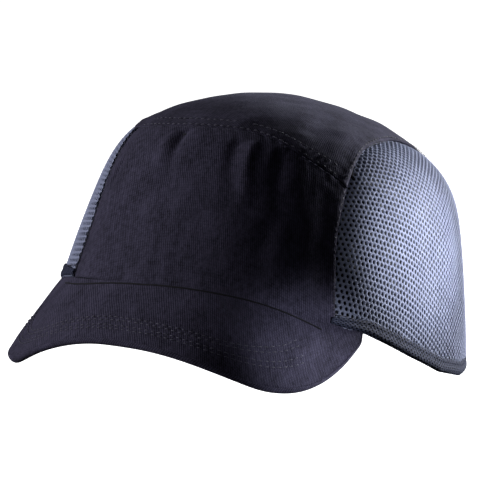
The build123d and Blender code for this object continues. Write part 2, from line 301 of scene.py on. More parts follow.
front_angle = math.degrees(math.atan2(FRONT_CORNER[1], FRONT_CORNER[0]))
rim_side_left = rim(np.linspace(front_angle, edge_angle, 200))
rim_side_right = rim(np.linspace(RIGHT_TEMPLE[0], -180 - edge_angle, 220))
hem_line_left = rim(np.linspace(front_angle - 1.5, edge_angle, 200))
hem_line_right = rim(np.linspace(RIGHT_TEMPLE[0] + 0.5, -180 - edge_angle, 220))
rim_front = rim(np.linspace(RIGHT_TEMPLE[0], front_angle, 300))
rim_back = rim(np.linspace(180 - edge_angle, edge_angle, 200))


def coons(lower, upper, left, right, across, along):
    """A grid of chart points between four edges: two that run left to right, and two that run upwards."""
    lower, upper = resample(lower, across)[None], resample(upper, across)[None]
    left, right = resample(left, along)[:, None], resample(right, along)[:, None]
    u = np.linspace(0, 1, across)[None, :, None]
    v = np.linspace(0, 1, along)[:, None, None]
    ruled = (1 - v) * lower + v * upper + (1 - u) * left + u * right
    corners = (1 - u) * (1 - v) * lower[:, :1] + u * (1 - v) * lower[:, -1:]
    corners = corners + (1 - u) * v * upper[:, :1] + u * v * upper[:, -1:]
    return ruled - corners


def nearest_gap(plan, points):
    """The distance from each flat point to the nearest of some others."""
    flat = plan.reshape(-1, 2)
    gap = np.full(len(flat), 1e9)
    for point in points:
        np.minimum(gap, np.hypot(flat[:, 0] - point[0], flat[:, 1] - point[1]), out=gap)
    return gap.reshape(plan.shape[:-1])


def away_from(chart, line, spacing=1.0):
    """Distance on the chart from each point to a line, which is near the distance on the cloth."""
    return nearest_gap(chart, resample(line, max(8, int(line_length(line)[-1] / spacing))))


FLATTEN_ROUNDS = 700


def flatten(world, start):
    """The grid laid flat with its edge lengths kept as nearly as they can be."""
    flat = start.copy()
    every, early, late = slice(None), slice(None, -1), slice(1, None)
    pairs = [((every, early), (every, late)), ((early, every), (late, every)),
             ((early, early), (late, late)), ((late, early), (early, late))]
    lengths = [np.linalg.norm(world[b] - world[a], axis=-1) for a, b in pairs]
    for _ in range(FLATTEN_ROUNDS):
        move = np.zeros_like(flat)
        for (a, b), length in zip(pairs, lengths):
            gap = flat[b] - flat[a]
            size = np.maximum(np.linalg.norm(gap, axis=-1), 1e-6)
            pull = gap * ((size - length) / size)[..., None] * 0.12
            move[a] += pull
            move[b] -= pull
        flat += move
    return flat


def cross(a, b):
    """The signed area between two flat vectors."""
    return a[..., 0] * b[..., 1] - a[..., 1] * b[..., 0]


def upright(flat):
    """Turns and centres a flattened grid so that its middle column runs up."""
    middle = flat.shape[1] // 2
    way = flat[-1, middle] - flat[0, middle]
    turn = math.atan2(way[0], way[1])
    cos, sin = math.cos(turn), math.sin(turn)
    x, y = np.moveaxis(flat - flat[flat.shape[0] // 2, middle], -1, 0)
    return np.stack([x * cos - y * sin, x * sin + y * cos], -1)


def stretch_grid(values, rows, columns):
    """Bilinear enlargement of a grid of vectors."""
    old_rows, old_columns = values.shape[:2]
    r = np.linspace(0, old_rows - 1, rows)
    c = np.linspace(0, old_columns - 1, columns)
    r0 = np.minimum(r.astype(int), old_rows - 2)
    c0 = np.minimum(c.astype(int), old_columns - 2)
    fr = (r - r0)[:, None, None]
    fc = (c - c0)[None, :, None]
    near = values[r0][:, c0] * (1 - fc) + values[r0][:, c0 + 1] * fc
    far = values[r0 + 1][:, c0] * (1 - fc) + values[r0 + 1][:, c0 + 1] * fc
    return near * (1 - fr) + far * fr


# ---------------------------------------------------------------- making objects

def make(name, verts, faces, material, uv=None):
    """One mesh object, from vertices in millimetres. uv is one pair of cloth measures for each vertex."""
    mesh = bpy.data.meshes.new(name)
    mesh.from_pydata((np.asarray(verts, float) * MM).tolist(), [], [list(map(int, f)) for f in faces])
    mesh.validate()
    mesh.update()
    if uv is not None:
        layer = mesh.uv_layers.new(name="flat")
        index = np.empty(len(mesh.loops), dtype=np.int64)
        mesh.loops.foreach_get("vertex_index", index)
        layer.data.foreach_set("uv", np.asarray(uv, float)[index].ravel())
    mesh.polygons.foreach_set("use_smooth", [True] * len(mesh.polygons))
    obj = bpy.data.objects.new(name, mesh)
    bpy.context.collection.objects.link(obj)
    mesh.materials.append(material)
    return obj


def grid_faces(rows, columns, flip=False, wrap=False, keep=None):
    """The faces of a grid of points; wrap joins its last column to its first, keep leaves some faces out."""
    faces = []
    for r in range(rows - 1):
        for c in range(columns if wrap else columns - 1):
            d = (c + 1) % columns
            if keep is not None and not keep[r, c]:
                continue
            face = (r * columns + c, r * columns + d, (r + 1) * columns + d, (r + 1) * columns + c)
            faces.append(face[::-1] if flip else face)
    return faces


def slab_faces(rows, columns, flip=False):
    """The faces of two grids of one size, the second after the first, closed round their edges."""
    count = rows * columns
    first = grid_faces(rows, columns, flip)
    second = [tuple(i + count for i in face[::-1]) for face in first]
    edge = ([(0, c) for c in range(columns)] + [(r, columns - 1) for r in range(1, rows)]
            + [(rows - 1, c) for c in range(columns - 2, -1, -1)] + [(r, 0) for r in range(rows - 2, 0, -1)])
    places = [r * columns + c for r, c in edge]
    walls = [(a, b, b + count, a + count) for a, b in zip(places, places[1:] + places[:1])]
    return first + second + walls


def end_caps(rings, around):
    """The two end faces of a tube of rings."""
    return [tuple(range(around))[::-1], tuple((rings - 1) * around + c for c in range(around))]


def thicken(obj, thickness, offset=-1.0):
    """Gives a sheet its thickness: with -1 inwards, against its normals."""
    modifier = obj.modifiers.new("thickness", "SOLIDIFY")
    modifier.thickness = thickness * MM
    modifier.offset = offset
    modifier.use_rim = True
    modifier.use_even_offset = False
    apply(obj)
    return obj


def apply(obj):
    """Turns the object's modifiers into its mesh."""
    depsgraph = bpy.context.evaluated_depsgraph_get()
    mesh = bpy.data.meshes.new_from_object(obj.evaluated_get(depsgraph), depsgraph=depsgraph)
    obj.modifiers.clear()
    old = obj.data
    obj.data = mesh
    bpy.data.meshes.remove(old)
    return obj


def settle(obj, body, nodes=()):
    """Puts a piece under its body and hides the CAD nodes it stands for."""
    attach(obj, body)
    if nodes:
        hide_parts(*nodes)
    return obj


def outward(obj):
    """Makes a closed mesh's faces all point outwards."""
    bm = bmesh.new()
    bm.from_mesh(obj.data)
    bmesh.ops.recalc_face_normals(bm, faces=bm.faces)
    bm.to_mesh(obj.data)
    bm.free()
    return obj


def sweep(name, centres, side, up, section, material, taper=1.0):
    """A closed profile of (side, up) pairs carried along a path; taper scales its side measure."""
    section = np.asarray(section, float)
    count, around = len(centres), len(section)
    widths = np.broadcast_to(taper, count)
    verts = (centres[:, None] + section[None, :, :1] * widths[:, None, None] * side[:, None]
             + section[None, :, 1:] * up[:, None]).reshape(-1, 3)
    uv = np.stack([np.repeat(walk(centres), around), np.tile(walk(section), count)], -1)
    faces = grid_faces(count, around, wrap=True) + end_caps(count, around)
    return outward(make(name, verts, faces, material, uv))


def rounded_bar(width, height, corner=0.35, steps=3):
    """A rounded rectangle profile, centred, as (side, up) pairs."""
    points = []
    corner = min(corner, width / 2 * 0.98, height / 2 * 0.98)
    for cx, cy, start in ((1, 1, 0), (-1, 1, 90), (-1, -1, 180), (1, -1, 270)):
        for i in range(steps + 1):
            turn = math.radians(start + 90 * i / steps)
            points.append((cx * (width / 2 - corner) + corner * math.cos(turn),
                           cy * (height / 2 - corner) + corner * math.sin(turn)))
    return points


STITCH_LENGTH = 2.3
STITCH_GAP = 0.9
STITCH_RADIUS = 0.24
STITCH_RISE = 0.30
STITCH_SINK = 0.16
STITCH_RINGS = 5
STITCH_SIDES = 6
stitch_faces = grid_faces(STITCH_RINGS, STITCH_SIDES, wrap=True) + end_caps(STITCH_RINGS, STITCH_SIDES)


def add_stitches(points, normals, verts, faces):
    """Adds a row of stitches to verts and faces, each a short thread that dips at both ends."""
    walked = walk(points)
    arch = np.sin(np.linspace(0, np.pi, STITCH_RINGS))
    thick = STITCH_RADIUS * (0.45 + 0.55 * np.sqrt(np.maximum(arch, 0)))
    for start in np.arange(STITCH_GAP / 2, walked[-1] - STITCH_LENGTH, STITCH_LENGTH + STITCH_GAP):
        wobble = rng.normal(0, 0.07, 2)[0]
        places = start + np.linspace(0, STITCH_LENGTH, STITCH_RINGS)
        centre = at_places(places, walked, points)
        normal = unit(at_places(places, walked, normals))
        side = np.cross(normal, unit(np.gradient(centre, axis=0)))
        centre = centre + normal * (arch * STITCH_RISE - STITCH_SINK)[:, None] + side * wobble
        base = len(verts)
        for r in range(STITCH_RINGS):
            for a in range(STITCH_SIDES):
                turn = 2 * np.pi * a / STITCH_SIDES
                verts.append(centre[r] + thick[r] * (math.cos(turn) * side[r] + math.sin(turn) * normal[r]))
        faces += [tuple(base + i for i in face) for face in stitch_faces]


def stitching(name, rows):
    """Several rows of stitches on the cap as one piece; each row is (points, normals)."""
    verts, faces = [], []
    for points, normals in rows:
        add_stitches(points, normals, verts, faces)
    return settle(outward(make(name, verts, faces, thread_dark)), "cap")


# ---------------------------------------------------------------- materials

class Surface:
    """One procedural material, with short names for the nodes it is made of."""

    def __init__(self, name, roughness, sheen=0.0, specular=0.3):
        self.material = bpy.data.materials.new(name)
        self.material.use_nodes = True
        self.tree = self.material.node_tree
        self.shader = self.tree.nodes["Principled BSDF"]
        self.shader.inputs["Roughness"].default_value = roughness
        self.shader.inputs["Specular IOR Level"].default_value = specular
        if sheen:
            self.shader.inputs["Sheen Weight"].default_value = sheen
            self.shader.inputs["Sheen Roughness"].default_value = 0.45
            self.shader.inputs["Sheen Tint"].default_value = (0.75, 0.76, 1.0, 1.0)

    def node(self, kind):
        return self.tree.nodes.new(kind)

    def put(self, value, socket):
        """Gives a socket a value, or links another socket to it."""
        if isinstance(value, (int, float, tuple, list)):
            socket.default_value = value
        else:
            self.tree.links.new(value, socket)

    def maths(self, operation, a, b=0.0):
        """One Math node; a and b are values or sockets."""
        node = self.node("ShaderNodeMath")
        node.operation = operation
        self.put(a, node.inputs[0])
        self.put(b, node.inputs[1])
        return node.outputs[0]

    def add(self, a, b):
        return self.maths("ADD", a, b)

    def minus(self, a, b):
        return self.maths("SUBTRACT", a, b)

    def times(self, a, b):
        return self.maths("MULTIPLY", a, b)

    def limited(self, value):
        """The value kept between 0 and 1."""
        return self.maths("MINIMUM", self.maths("MAXIMUM", value, 0.0), 1.0)

    def cloth_uv(self):
        """The place on the flat cloth, in millimetres, as two values."""
        uv = self.node("ShaderNodeUVMap")
        uv.uv_map = "flat"
        parts = self.node("ShaderNodeSeparateXYZ")
        self.tree.links.new(uv.outputs[0], parts.inputs[0])
        return uv.outputs[0], parts.outputs[0], parts.outputs[1]

    def place(self):
        """The place in the object, in metres."""
        return self.node("ShaderNodeTexCoord").outputs["Object"]

    def noise(self, vector, scale, detail=2.0, roughness=0.55):
        """Soft noise round 0.5."""
        node = self.node("ShaderNodeTexNoise")
        self.put(vector, node.inputs["Vector"])
        node.inputs["Scale"].default_value = scale
        node.inputs["Detail"].default_value = detail
        node.inputs["Roughness"].default_value = roughness
        return node.outputs["Fac"]

    def cells(self, vector, scale):
        """The distance from the nearest of many scattered points."""
        node = self.node("ShaderNodeTexVoronoi")
        self.put(vector, node.inputs["Vector"])
        node.inputs["Scale"].default_value = scale
        return node.outputs["Distance"]

    def wave(self, value, pitch, shift=None):
        """0 to 1 and back once in every pitch."""
        turned = self.times(value, 2 * math.pi / pitch)
        if shift is not None:
            turned = self.add(turned, shift)
        return self.half(self.maths("SINE", turned))

    def half(self, value):
        """From the range -1 to 1 to the range 0 to 1."""
        return self.add(self.times(value, 0.5), 0.5)

    def blend(self, factor, a, b):
        """From colour a at factor 0 to colour b at 1."""
        node = self.node("ShaderNodeMix")
        node.data_type = "RGBA"
        self.put(factor, node.inputs["Factor"])
        self.put((*a, 1.0), node.inputs["A"])
        self.put((*b, 1.0), node.inputs["B"])
        return node.outputs["Result"]

    def colour(self, socket):
        self.put(socket, self.shader.inputs["Base Color"])

    def bump(self, height, distance_mm):
        """Fine relief of the given height."""
        node = self.node("ShaderNodeBump")
        node.inputs["Strength"].default_value = 1.0
        node.inputs["Distance"].default_value = distance_mm * MM
        self.tree.links.new(height, node.inputs["Height"])
        self.tree.links.new(node.outputs[0], self.shader.inputs["Normal"])


TWILL_PITCH = 1.05


def twill(name, dark, light, lean, rib_share=0.5):
    """Cotton twill: diagonal ribs of short threads, with paler flecks and a worn mottle."""
    s = Surface(name, roughness=0.9, sheen=0.06, specular=0.08)
    uv, u, v = s.cloth_uv()
    cos, sin = math.cos(math.radians(lean)), math.sin(math.radians(lean))
    along = s.add(s.times(u, cos), s.times(v, sin))
    across = s.minus(s.times(v, cos), s.times(u, sin))
    drift = s.noise(uv, 0.11, 2.0)
    rib = s.wave(along, TWILL_PITCH, s.times(drift, 6.0))
    rib_number = s.maths("FLOOR", s.maths("DIVIDE", along, TWILL_PITCH))
    thread = s.wave(across, 1.15, s.times(rib_number, 2.4))
    fuzz = s.noise(uv, 1.1, 4.0, 0.75)
    fleck = s.noise(uv, 0.42, 3.0, 0.7)
    mottle = s.noise(uv, 0.07, 3.0, 0.6)
    body = s.times(rib, s.add(s.times(thread, 0.45), 0.55))
    ribs = s.times(body, rib_share)
    height = s.add(ribs, s.times(fuzz, 0.8))
    tone = s.add(ribs, s.times(fuzz, 0.7))
    tone = s.add(tone, s.times(s.minus(mottle, 0.5), 0.8))
    tone = s.add(tone, s.times(s.minus(fleck, 0.5), 1.0))
    s.colour(s.blend(s.limited(s.minus(tone, 0.14)), dark, light))
    s.bump(height, 0.20)
    return s.material


MESH_PITCH = 2.7


def knit(name, dark, light, specular, holes=False):
    """Polyester net thread, or with holes=True the same net folded double, its holes only hollows painted dark
    as shade.
    """
    s = Surface(name, roughness=0.7, specular=specular)
    uv, u, v = s.cloth_uv()
    strand = s.noise(uv, 1.3, 3.0, 0.7)
    mottle = s.noise(uv, 0.06, 2.0)
    filament = s.wave(s.add(u, v), 0.42, s.times(strand, 3.0))
    height = s.add(s.times(filament, 0.35), strand)
    tone = s.add(s.times(strand, 0.8), s.times(mottle, 0.4))
    if holes:
        columns = s.maths("SINE", s.times(u, 2 * math.pi / MESH_PITCH))
        rows = s.maths("SINE", s.times(v, 2 * math.pi / (MESH_PITCH * 0.86)))
        # The hollows are darkened in the colour, as painted shade, as well as sunk in the relief.
        hollow = s.maths("MAXIMUM", s.times(columns, rows), 0.0)
        tone = s.minus(tone, s.times(hollow, 1.1))
        height = s.minus(height, s.times(hollow, 2.0))
    s.colour(s.blend(s.limited(tone), dark, light))
    s.bump(height, 0.16)
    return s.material


def plain_weave(name, dark, light, rib_pitch, cross_pitch, depth=0.15, roughness=0.8):
    """Tape, webbing or lining: ribs across a band, with finer threads along it."""
    s = Surface(name, roughness=roughness, sheen=0.15, specular=0.15)
    uv, u, v = s.cloth_uv()
    row = s.maths("FLOOR", s.maths("DIVIDE", u, rib_pitch))
    ribs = s.wave(u, rib_pitch)
    threads = s.wave(v, cross_pitch, s.times(row, math.pi))
    weave = s.times(ribs, s.add(s.times(threads, 0.6), 0.4))
    fuzz = s.noise(uv, 1.4, 2.0)
    tone = s.add(s.times(weave, 0.6), s.times(fuzz, 0.45))
    s.colour(s.blend(tone, dark, light))
    s.bump(s.add(weave, s.times(fuzz, 0.4)), depth)
    return s.material


def grained(name, dark, light, scale, depth, roughness, sheen=0.0, specular=0.3, tufts=False):
    """A surface with no direction: moulded plastic, foam, loop pile or towelling, by the size of its grain."""
    s = Surface(name, roughness=roughness, sheen=sheen, specular=specular)
    place = s.place()
    grain = s.noise(place, scale, 3.0, 0.65)
    broad = s.noise(place, scale * 0.04, 2.0)
    if tufts:
        grain = s.minus(s.add(grain, 0.35), s.cells(place, scale * 0.8))
    tone = s.add(s.times(grain, 0.7), s.times(broad, 0.4))
    s.colour(s.blend(s.limited(tone), dark, light))
    s.bump(grain, depth)
    return s.material


NAVY_DARK = (0.0075, 0.0072, 0.0125)
NAVY_LIGHT = (0.072, 0.067, 0.112)
twill_front = twill("twill front", NAVY_DARK, NAVY_LIGHT, lean=22.0)
twill_strip = twill("twill strip", NAVY_DARK, NAVY_LIGHT, lean=62.0, rib_share=0.35)
twill_peak = twill("twill peak", NAVY_DARK, NAVY_LIGHT, lean=33.0, rib_share=0.6)
mesh_thread = knit("mesh thread", (0.022, 0.027, 0.055), (0.35, 0.39, 0.55), 0.12)
# The fold's colours are several times darker than the net thread's: painted shade for the folded double hem.
mesh_fold = knit("mesh fold", (0.002, 0.0025, 0.005), (0.075, 0.085, 0.14), 0.04, holes=True)
binding_tape = plain_weave("binding tape", (0.008, 0.008, 0.012), (0.045, 0.045, 0.065), 0.7, 0.9)
seam_tape = plain_weave("seam tape", (0.003, 0.003, 0.005), (0.017, 0.017, 0.024), 0.8, 1.0)
lining_cloth = plain_weave("lining cloth", (0.03, 0.03, 0.036), (0.10, 0.10, 0.115), 0.7, 0.7)
webbing = plain_weave("webbing", (0.008, 0.008, 0.01), (0.045, 0.045, 0.055), 1.5, 2.4, 0.3, 0.7)
loop_pile = grained("loop pile", (0.006, 0.006, 0.008), (0.045, 0.045, 0.055), 900, 0.5, 0.9, 0.4, 0.1, True)
hook_tape = grained("hook tape", (0.004, 0.004, 0.005), (0.04, 0.04, 0.045), 1200, 0.4, 0.45, 0.0, 0.4, True)
peak_plastic = grained("peak plastic", (0.03, 0.03, 0.03), (0.06, 0.06, 0.06), 400, 0.04, 0.5)
shell_plastic = grained("shell plastic", (0.004, 0.004, 0.005), (0.012, 0.012, 0.014), 520, 0.05, 0.5,
                        specular=0.25)
foam = grained("foam", (0.02, 0.02, 0.023), (0.085, 0.085, 0.095), 700, 0.35, 0.95, 0.1, 0.1, tufts=True)
towelling = grained("towelling", (0.012, 0.012, 0.018), (0.07, 0.07, 0.09), 620, 0.7, 0.95, 0.5, 0.1, True)
# Near-black cord material: painted shade for the valley of the peak's seam.
seam_shadow_cord = grained("seam shadow cord", (0.0015, 0.0015, 0.003), (0.006, 0.006, 0.010), 2200, 0.05, 0.9)
thread_dark = grained("thread dark", (0.018, 0.018, 0.028), (0.085, 0.083, 0.12), 2500, 0.05, 0.6)

# The shell is the one CAD node that stays in sight.
shell_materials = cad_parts["bump_shell"].data.materials
if not len(shell_materials):
    shell_materials.append(shell_plastic)
for index in range(len(shell_materials)):
    shell_materials[index] = shell_plastic

# ---------------------------------------------------------------- relief of the crown's cloth

# Soft folds of the front panel: where each starts and ends on the chart, its half width and its height.
FRONT_FOLDS = [
    ((-8, -77), (-3, -104), 3.4, -1.5),
    ((-16, -80), (-11, -104), 3.6, 0.7),
    ((25, -75), (41, -100), 4.2, -1.1),
    ((33, -71), (50, -98), 3.6, 1.2),
    ((47, -66), (72, -92), 4.2, -1.4),
    ((60, -66), (98, -90), 4.6, 0.35),
    ((76, -61), (118, -86), 5.6, -0.5),
    ((-46, -86), (-52, -104), 2.2, -1.2),
    ((-62, -80), (-78, -96), 4.0, -0.8),
    ((10, -108), (30, -146), 12.0, 0.7),
    ((66, -96), (86, -124), 9.0, -0.7),
]
STRIP_FOLDS = [
    ((20, -66), (12, -34), 6.0, 0.6),
    ((48, -50), (34, -10), 7.0, -0.8),
    ((56, -36), (52, 20), 5.0, 0.7),
    ((-30, -66), (-22, -30), 6.0, 0.5),
    ((60, 30), (50, 80), 6.0, -0.6),
    ((-58, 20), (-50, 70), 6.0, -0.6),
]


def eased(value):
    """From 0 to 1 with a soft start and end."""
    value = np.clip(value, 0, 1)
    return value * value * (3 - 2 * value)


def toward(chart, angle):
    """How far each chart point lies in a direction."""
    return chart[..., 0] * math.cos(angle) + chart[..., 1] * math.sin(angle)


def folds(chart, table):
    """The height of a panel's soft folds at each chart point."""
    total = np.zeros(chart.shape[:-1])
    for start, end, half_width, height in table:
        start, end = np.array(start, float), np.array(end, float)
        length = np.linalg.norm(end - start)
        way = (end - start) / length
        along = ((chart - start) @ way) / length
        across = (chart - start) @ np.array([-way[1], way[0]])
        across = across + 2.0 * np.sin(along * 3.1)
        rise = eased((along + 0.05) / 0.16)
        fade = eased((1.15 - along) / 0.9)
        spread = half_width * (0.8 + 0.5 * np.clip(along, 0, 1))
        total += height * np.exp(-(across / spread) ** 2) * rise * fade
    return total


def unevenness(chart, size, height, waves=7):
    """A seeded, gentle unevenness, size millimetres across."""
    total = np.zeros(chart.shape[:-1])
    for _ in range(waves):
        angle, phase = rng.uniform(0, 2 * np.pi, 2)
        stretch = size * rng.uniform(0.7, 1.5)
        total += np.sin(toward(chart, angle) * 2 * np.pi / stretch + phase)
    return total * height / math.sqrt(waves)


def groove(distance, half_width, depth):
    """A shallow valley, by the distance from its line."""
    return -depth * np.exp(-(distance / half_width) ** 2)


PLATEAU_EDGE = 0.8


def plateau(distance, width, height):
    """Raised by height up to width from a seam."""
    return height / (1 + np.exp((distance - width) / PLATEAU_EDGE))


def pucker(chart, distance, reach=7.0, height=0.16):
    """The small gathers that a stitched seam leaves in the cloth beside it."""
    return unevenness(chart, 5.5, height, 9) * np.exp(-distance / reach)


# Where the real cloth stands off or sinks below the plain crown: place on the chart, radius and height.
SWELLS = [((76, 56), 13.0, 0.3), ((56, 46), 9.0, -0.4), ((40, 23), 11.0, 1.0), ((16, 2), 13.0, -0.5),
          ((-12, -12), 20.0, 0.8), ((-59, -56), 12.0, 0.4), ((122, 92), 16.0, 0.5)]


def swells(chart):
    """The height of the crown's broad swells at each chart point."""
    total = np.zeros(chart.shape[:-1])
    for place, radius, height in SWELLS:
        gap = chart - np.array(place, float)
        total += height * np.exp(-(gap[..., 0] ** 2 + gap[..., 1] ** 2) / radius ** 2)
    return total


# How far from its seam each row of stitches runs.
STITCH_NEAR = 1.6
STITCH_FAR = 6.4
STITCH_SIDE = 1.5


def crown_cloth(name, chart, relief, material, uv, keep=None):
    """A panel of the crown's cloth, raised by its relief; keep says which of its faces are made."""
    verts = on_crown(chart) + crown_normal(chart) * relief[..., None]
    faces = grid_faces(*chart.shape[:2], keep=keep)
    return thicken(make(name, verts.reshape(-1, 3), faces, material, uv.reshape(-1, 2)), CLOTH)


COARSE_ACROSS, COARSE_ALONG = 37, 31


def laid_flat(lower, upper, left, right, across, along):
    """A coarse flattening of a panel, stretched to the fine grid's size."""
    coarse = coons(lower, upper, left, right, COARSE_ACROSS, COARSE_ALONG)
    flat = upright(flatten(on_crown(coarse), coarse))
    return coarse, flat, stretch_grid(flat, along, across)


# Front panel
FRONT_ACROSS, FRONT_ALONG = 250, 110
front_edges = (rim_front, brow_seam, temple_right, temple_left)
front_chart = coons(*front_edges, FRONT_ACROSS, FRONT_ALONG)
front_coarse, front_flat, front_uv = laid_flat(*front_edges, FRONT_ACROSS, FRONT_ALONG)
to_brow = away_from(front_chart, brow_seam)
to_temple = np.minimum(away_from(front_chart, temple_left), away_from(front_chart, temple_right))
to_rim = away_from(front_chart, rim_front)
front_relief = (folds(front_chart, FRONT_FOLDS) * np.clip(to_brow / 2.5, 0, 1)
                + groove(to_brow, 1.2, 0.12) + groove(to_temple, 1.3, 0.5) + groove(to_rim, 1.0, 0.9)
                + pucker(front_chart, to_brow) + pucker(front_chart, to_temple, 5.0, 0.12)
                + pucker(front_chart, to_rim, 5.0, 0.10) + unevenness(front_chart, 46, 0.25)
                + unevenness(front_chart, 17, 0.08) + swells(front_chart))
front_panel = crown_cloth("front_panel_cloth", front_chart, front_relief, twill_front, front_uv)
settle(front_panel, "cap", ["front_panel"])

# Crown strip, cut away round the nape arch
STRIP_ACROSS, STRIP_ALONG = 130, 210
strip_edges = (brow_seam, rim_back, top_edge_right, top_edge_left)
strip_chart = coons(*strip_edges, STRIP_ACROSS, STRIP_ALONG)
_, strip_flat, strip_uv = laid_flat(*strip_edges, STRIP_ACROSS, STRIP_ALONG)
strip_to_brow = away_from(strip_chart, brow_seam)
strip_to_side = np.minimum(away_from(strip_chart, top_edge_left), away_from(strip_chart, top_edge_right))
strip_relief = (folds(strip_chart, STRIP_FOLDS) * np.clip(strip_to_brow / 8, 0, 1)
                + groove(strip_to_brow, 0.6, 0.28) + plateau(strip_to_brow, 7.4, 0.22)
                + groove(strip_to_brow - STITCH_NEAR, 0.7, 0.25) + groove(strip_to_brow - STITCH_FAR, 0.7, 0.25)
                + groove(strip_to_side, 0.7, 0.5) + plateau(strip_to_side, 4.2, 0.35)
                + groove(strip_to_side - STITCH_SIDE, 0.6, 0.2)
                + pucker(strip_chart, strip_to_brow) + pucker(strip_chart, strip_to_side, 6.0, 0.14)
                + unevenness(strip_chart, 40, 0.3) + unevenness(strip_chart, 16, 0.1) + swells(strip_chart))


def arch_share(world, grow):
    """Below 1 inside the nape arch, grown outwards by a few millimetres."""
    inside = np.hypot(world[..., 0] / (ARCH_HALF_WIDTH + grow),
                      (world[..., 2] - ARCH_BASE) / (ARCH_TOP - ARCH_BASE + grow))
    return np.where(world[..., 1] > 0, inside, 9.0)


strip_world = on_crown(strip_chart)
cell_world = (strip_world[:-1, :-1] + strip_world[1:, 1:]) / 2
strip_keep = arch_share(cell_world, 1.0) > 1.0
crown_strip = crown_cloth("crown_strip_cloth", strip_chart, strip_relief, twill_strip, strip_uv, strip_keep)
settle(crown_strip, "cap", ["crown_strip"])


# ---------------------------------------------------------------- mesh sides

# Each cell of the net is a ring of points from its crest down to its hole, taller at its corners' knots.
HOLE_HALF_WIDTH = 0.63
HOLE_HALF_HEIGHT = 0.80
THREAD_HALF = 0.36
KNOT_RISE = 0.10
SHOULDER_SHARE = 0.35
SHOULDER_HEIGHT = THREAD_HALF * 0.72
RING_POINTS = 12
# Behind this the net's upper edge counts as its back edge.
NET_BACK_Y = 86.0

wave_turns = rng.uniform(0, 2 * np.pi, (6, 2))


def side_relief(chart, temple, top_edge, lower, sink, puff):
    """How the mesh lies: sunk at its seams and puffed out between them, most of all behind the temple."""
    to_temple = away_from(chart, temple, 2.0)
    to_top = away_from(chart, top_edge, 2.0)
    to_lower = away_from(chart, lower, 2.0)
    total = -0.2 - sink * (np.exp(-to_temple / 7.0) + 0.5 * np.exp(-to_top / 3.5)) + swells(chart)
    fullness = (1 - np.exp(-to_temple / 10.0)) * (1 - np.exp(-to_top / 8.0)) * (1 - np.exp(-to_lower / 7.0))
    total += puff * fullness
    for angle, phase in wave_turns:
        total += 0.10 * np.sin(toward(chart, angle) / 6.5 + phase)
    return total


def net_pattern(side_coarse, side_flat):
    """The net laid flat: chart places, heights, flat places and faces of cells, each round its own hole."""
    flat_points = side_flat.reshape(-1, 2)
    low, high = flat_points.min(0), flat_points.max(0)
    corners = [Vector((x, y, 0)) for x, y in flat_points]
    triangles = []
    for a, b, c, d in grid_faces(*side_flat.shape[:2]):
        triangles += [(a, b, c), (a, c, d)]
    tree = BVHTree.FromPolygons(corners, triangles)
    chart_points = side_coarse.reshape(-1, 2)

    def chart_at(x, y):
        """The chart point of a place on the flat cloth, and how far outside the cloth it is."""
        hit, _, index, distance = tree.find_nearest(Vector((x, y, 0)))
        a, b, c = triangles[index]
        (ax, ay), (bx, by), (cx, cy) = (flat_points[i] for i in (a, b, c))
        area = (bx - ax) * (cy - ay) - (cx - ax) * (by - ay)
        wb = ((hit.x - ax) * (cy - ay) - (cx - ax) * (hit.y - ay)) / area
        wc = ((bx - ax) * (hit.y - ay) - (hit.x - ax) * (by - ay)) / area
        return chart_points[a] * (1 - wb - wc) + chart_points[b] * wb + chart_points[c] * wc, distance

    places, heights, flats, faces, shared = [], [], [], [], {}

    def vertex(x, y, height):
        """The number of the vertex at a place, which neighbouring cells share."""
        key = (round(x * 20), round(y * 20), round(height * 50))
        if key not in shared:
            shared[key] = len(places)
            places.append(chart_at(x, y)[0])
            heights.append(height)
            flats.append((x, y))
        return shared[key]

    column_gap = MESH_PITCH * math.sqrt(3) / 2
    for i in range(int(low[0] / column_gap) - 1, int(high[0] / column_gap) + 2):
        for j in range(int(low[1] / MESH_PITCH) - 1, int(high[1] / MESH_PITCH) + 2):
            x = i * column_gap
            y = (j + (0.5 if i % 2 else 0.0)) * MESH_PITCH
            if chart_at(x, y)[1] > 0.05:
                continue
            crest, shoulder, hole, base = [], [], [], []
            for k in range(RING_POINTS):
                turn = math.radians(360 / RING_POINTS * k)
                corner = k % 2 == 0
                reach = MESH_PITCH / math.sqrt(3) if corner else MESH_PITCH / 2
                ox, oy = x + reach * math.cos(turn), y + reach * math.sin(turn)
                hx, hy = x + HOLE_HALF_WIDTH * math.cos(turn), y + HOLE_HALF_HEIGHT * math.sin(turn)
                knot = KNOT_RISE if corner else 0.0
                crest.append(vertex(ox, oy, THREAD_HALF + knot))
                shoulder.append(vertex(hx + (ox - hx) * SHOULDER_SHARE, hy + (oy - hy) * SHOULDER_SHARE,
                                       SHOULDER_HEIGHT))
                hole.append(vertex(hx, hy, 0.0))
                base.append(vertex(ox, oy, -THREAD_HALF))
            for k in range(RING_POINTS):
                n = (k + 1) % RING_POINTS
                for upper, lower in ((crest, shoulder), (shoulder, hole), (hole, base)):
                    faces.append((upper[k], upper[n], lower[n], lower[k]))
    return np.array(places), np.array(heights), np.array(flats), faces


for side_name, lower, top_edge, temple, sink, puff in (
        ("left", rim_side_left, top_edge_left, temple_left, 2.2, 1.5),
        ("right", rim_side_right, top_edge_right, temple_right, -0.3, 0.5)):
    split = int(np.argmax(on_crown(top_edge)[:, 1] > NET_BACK_Y))
    side_edges = (lower, top_edge[:split + 1], temple, top_edge[split:][::-1])
    side_coarse, side_flat, _ = laid_flat(*side_edges, COARSE_ACROSS, COARSE_ALONG)
    net_chart, net_height, net_uv, net_faces = net_pattern(side_coarse, side_flat)
    net_relief = side_relief(net_chart, temple, top_edge, lower, sink, puff)
    net_world = on_crown(net_chart) + crown_normal(net_chart) * (net_relief + net_height - THREAD_HALF)[:, None]
    net = make(f"side_mesh_cloth_{side_name}", net_world, net_faces, mesh_thread, net_uv)
    settle(net, "cap", [f"side_mesh_{side_name}"])


# ---------------------------------------------------------------- hems, bindings and tapes

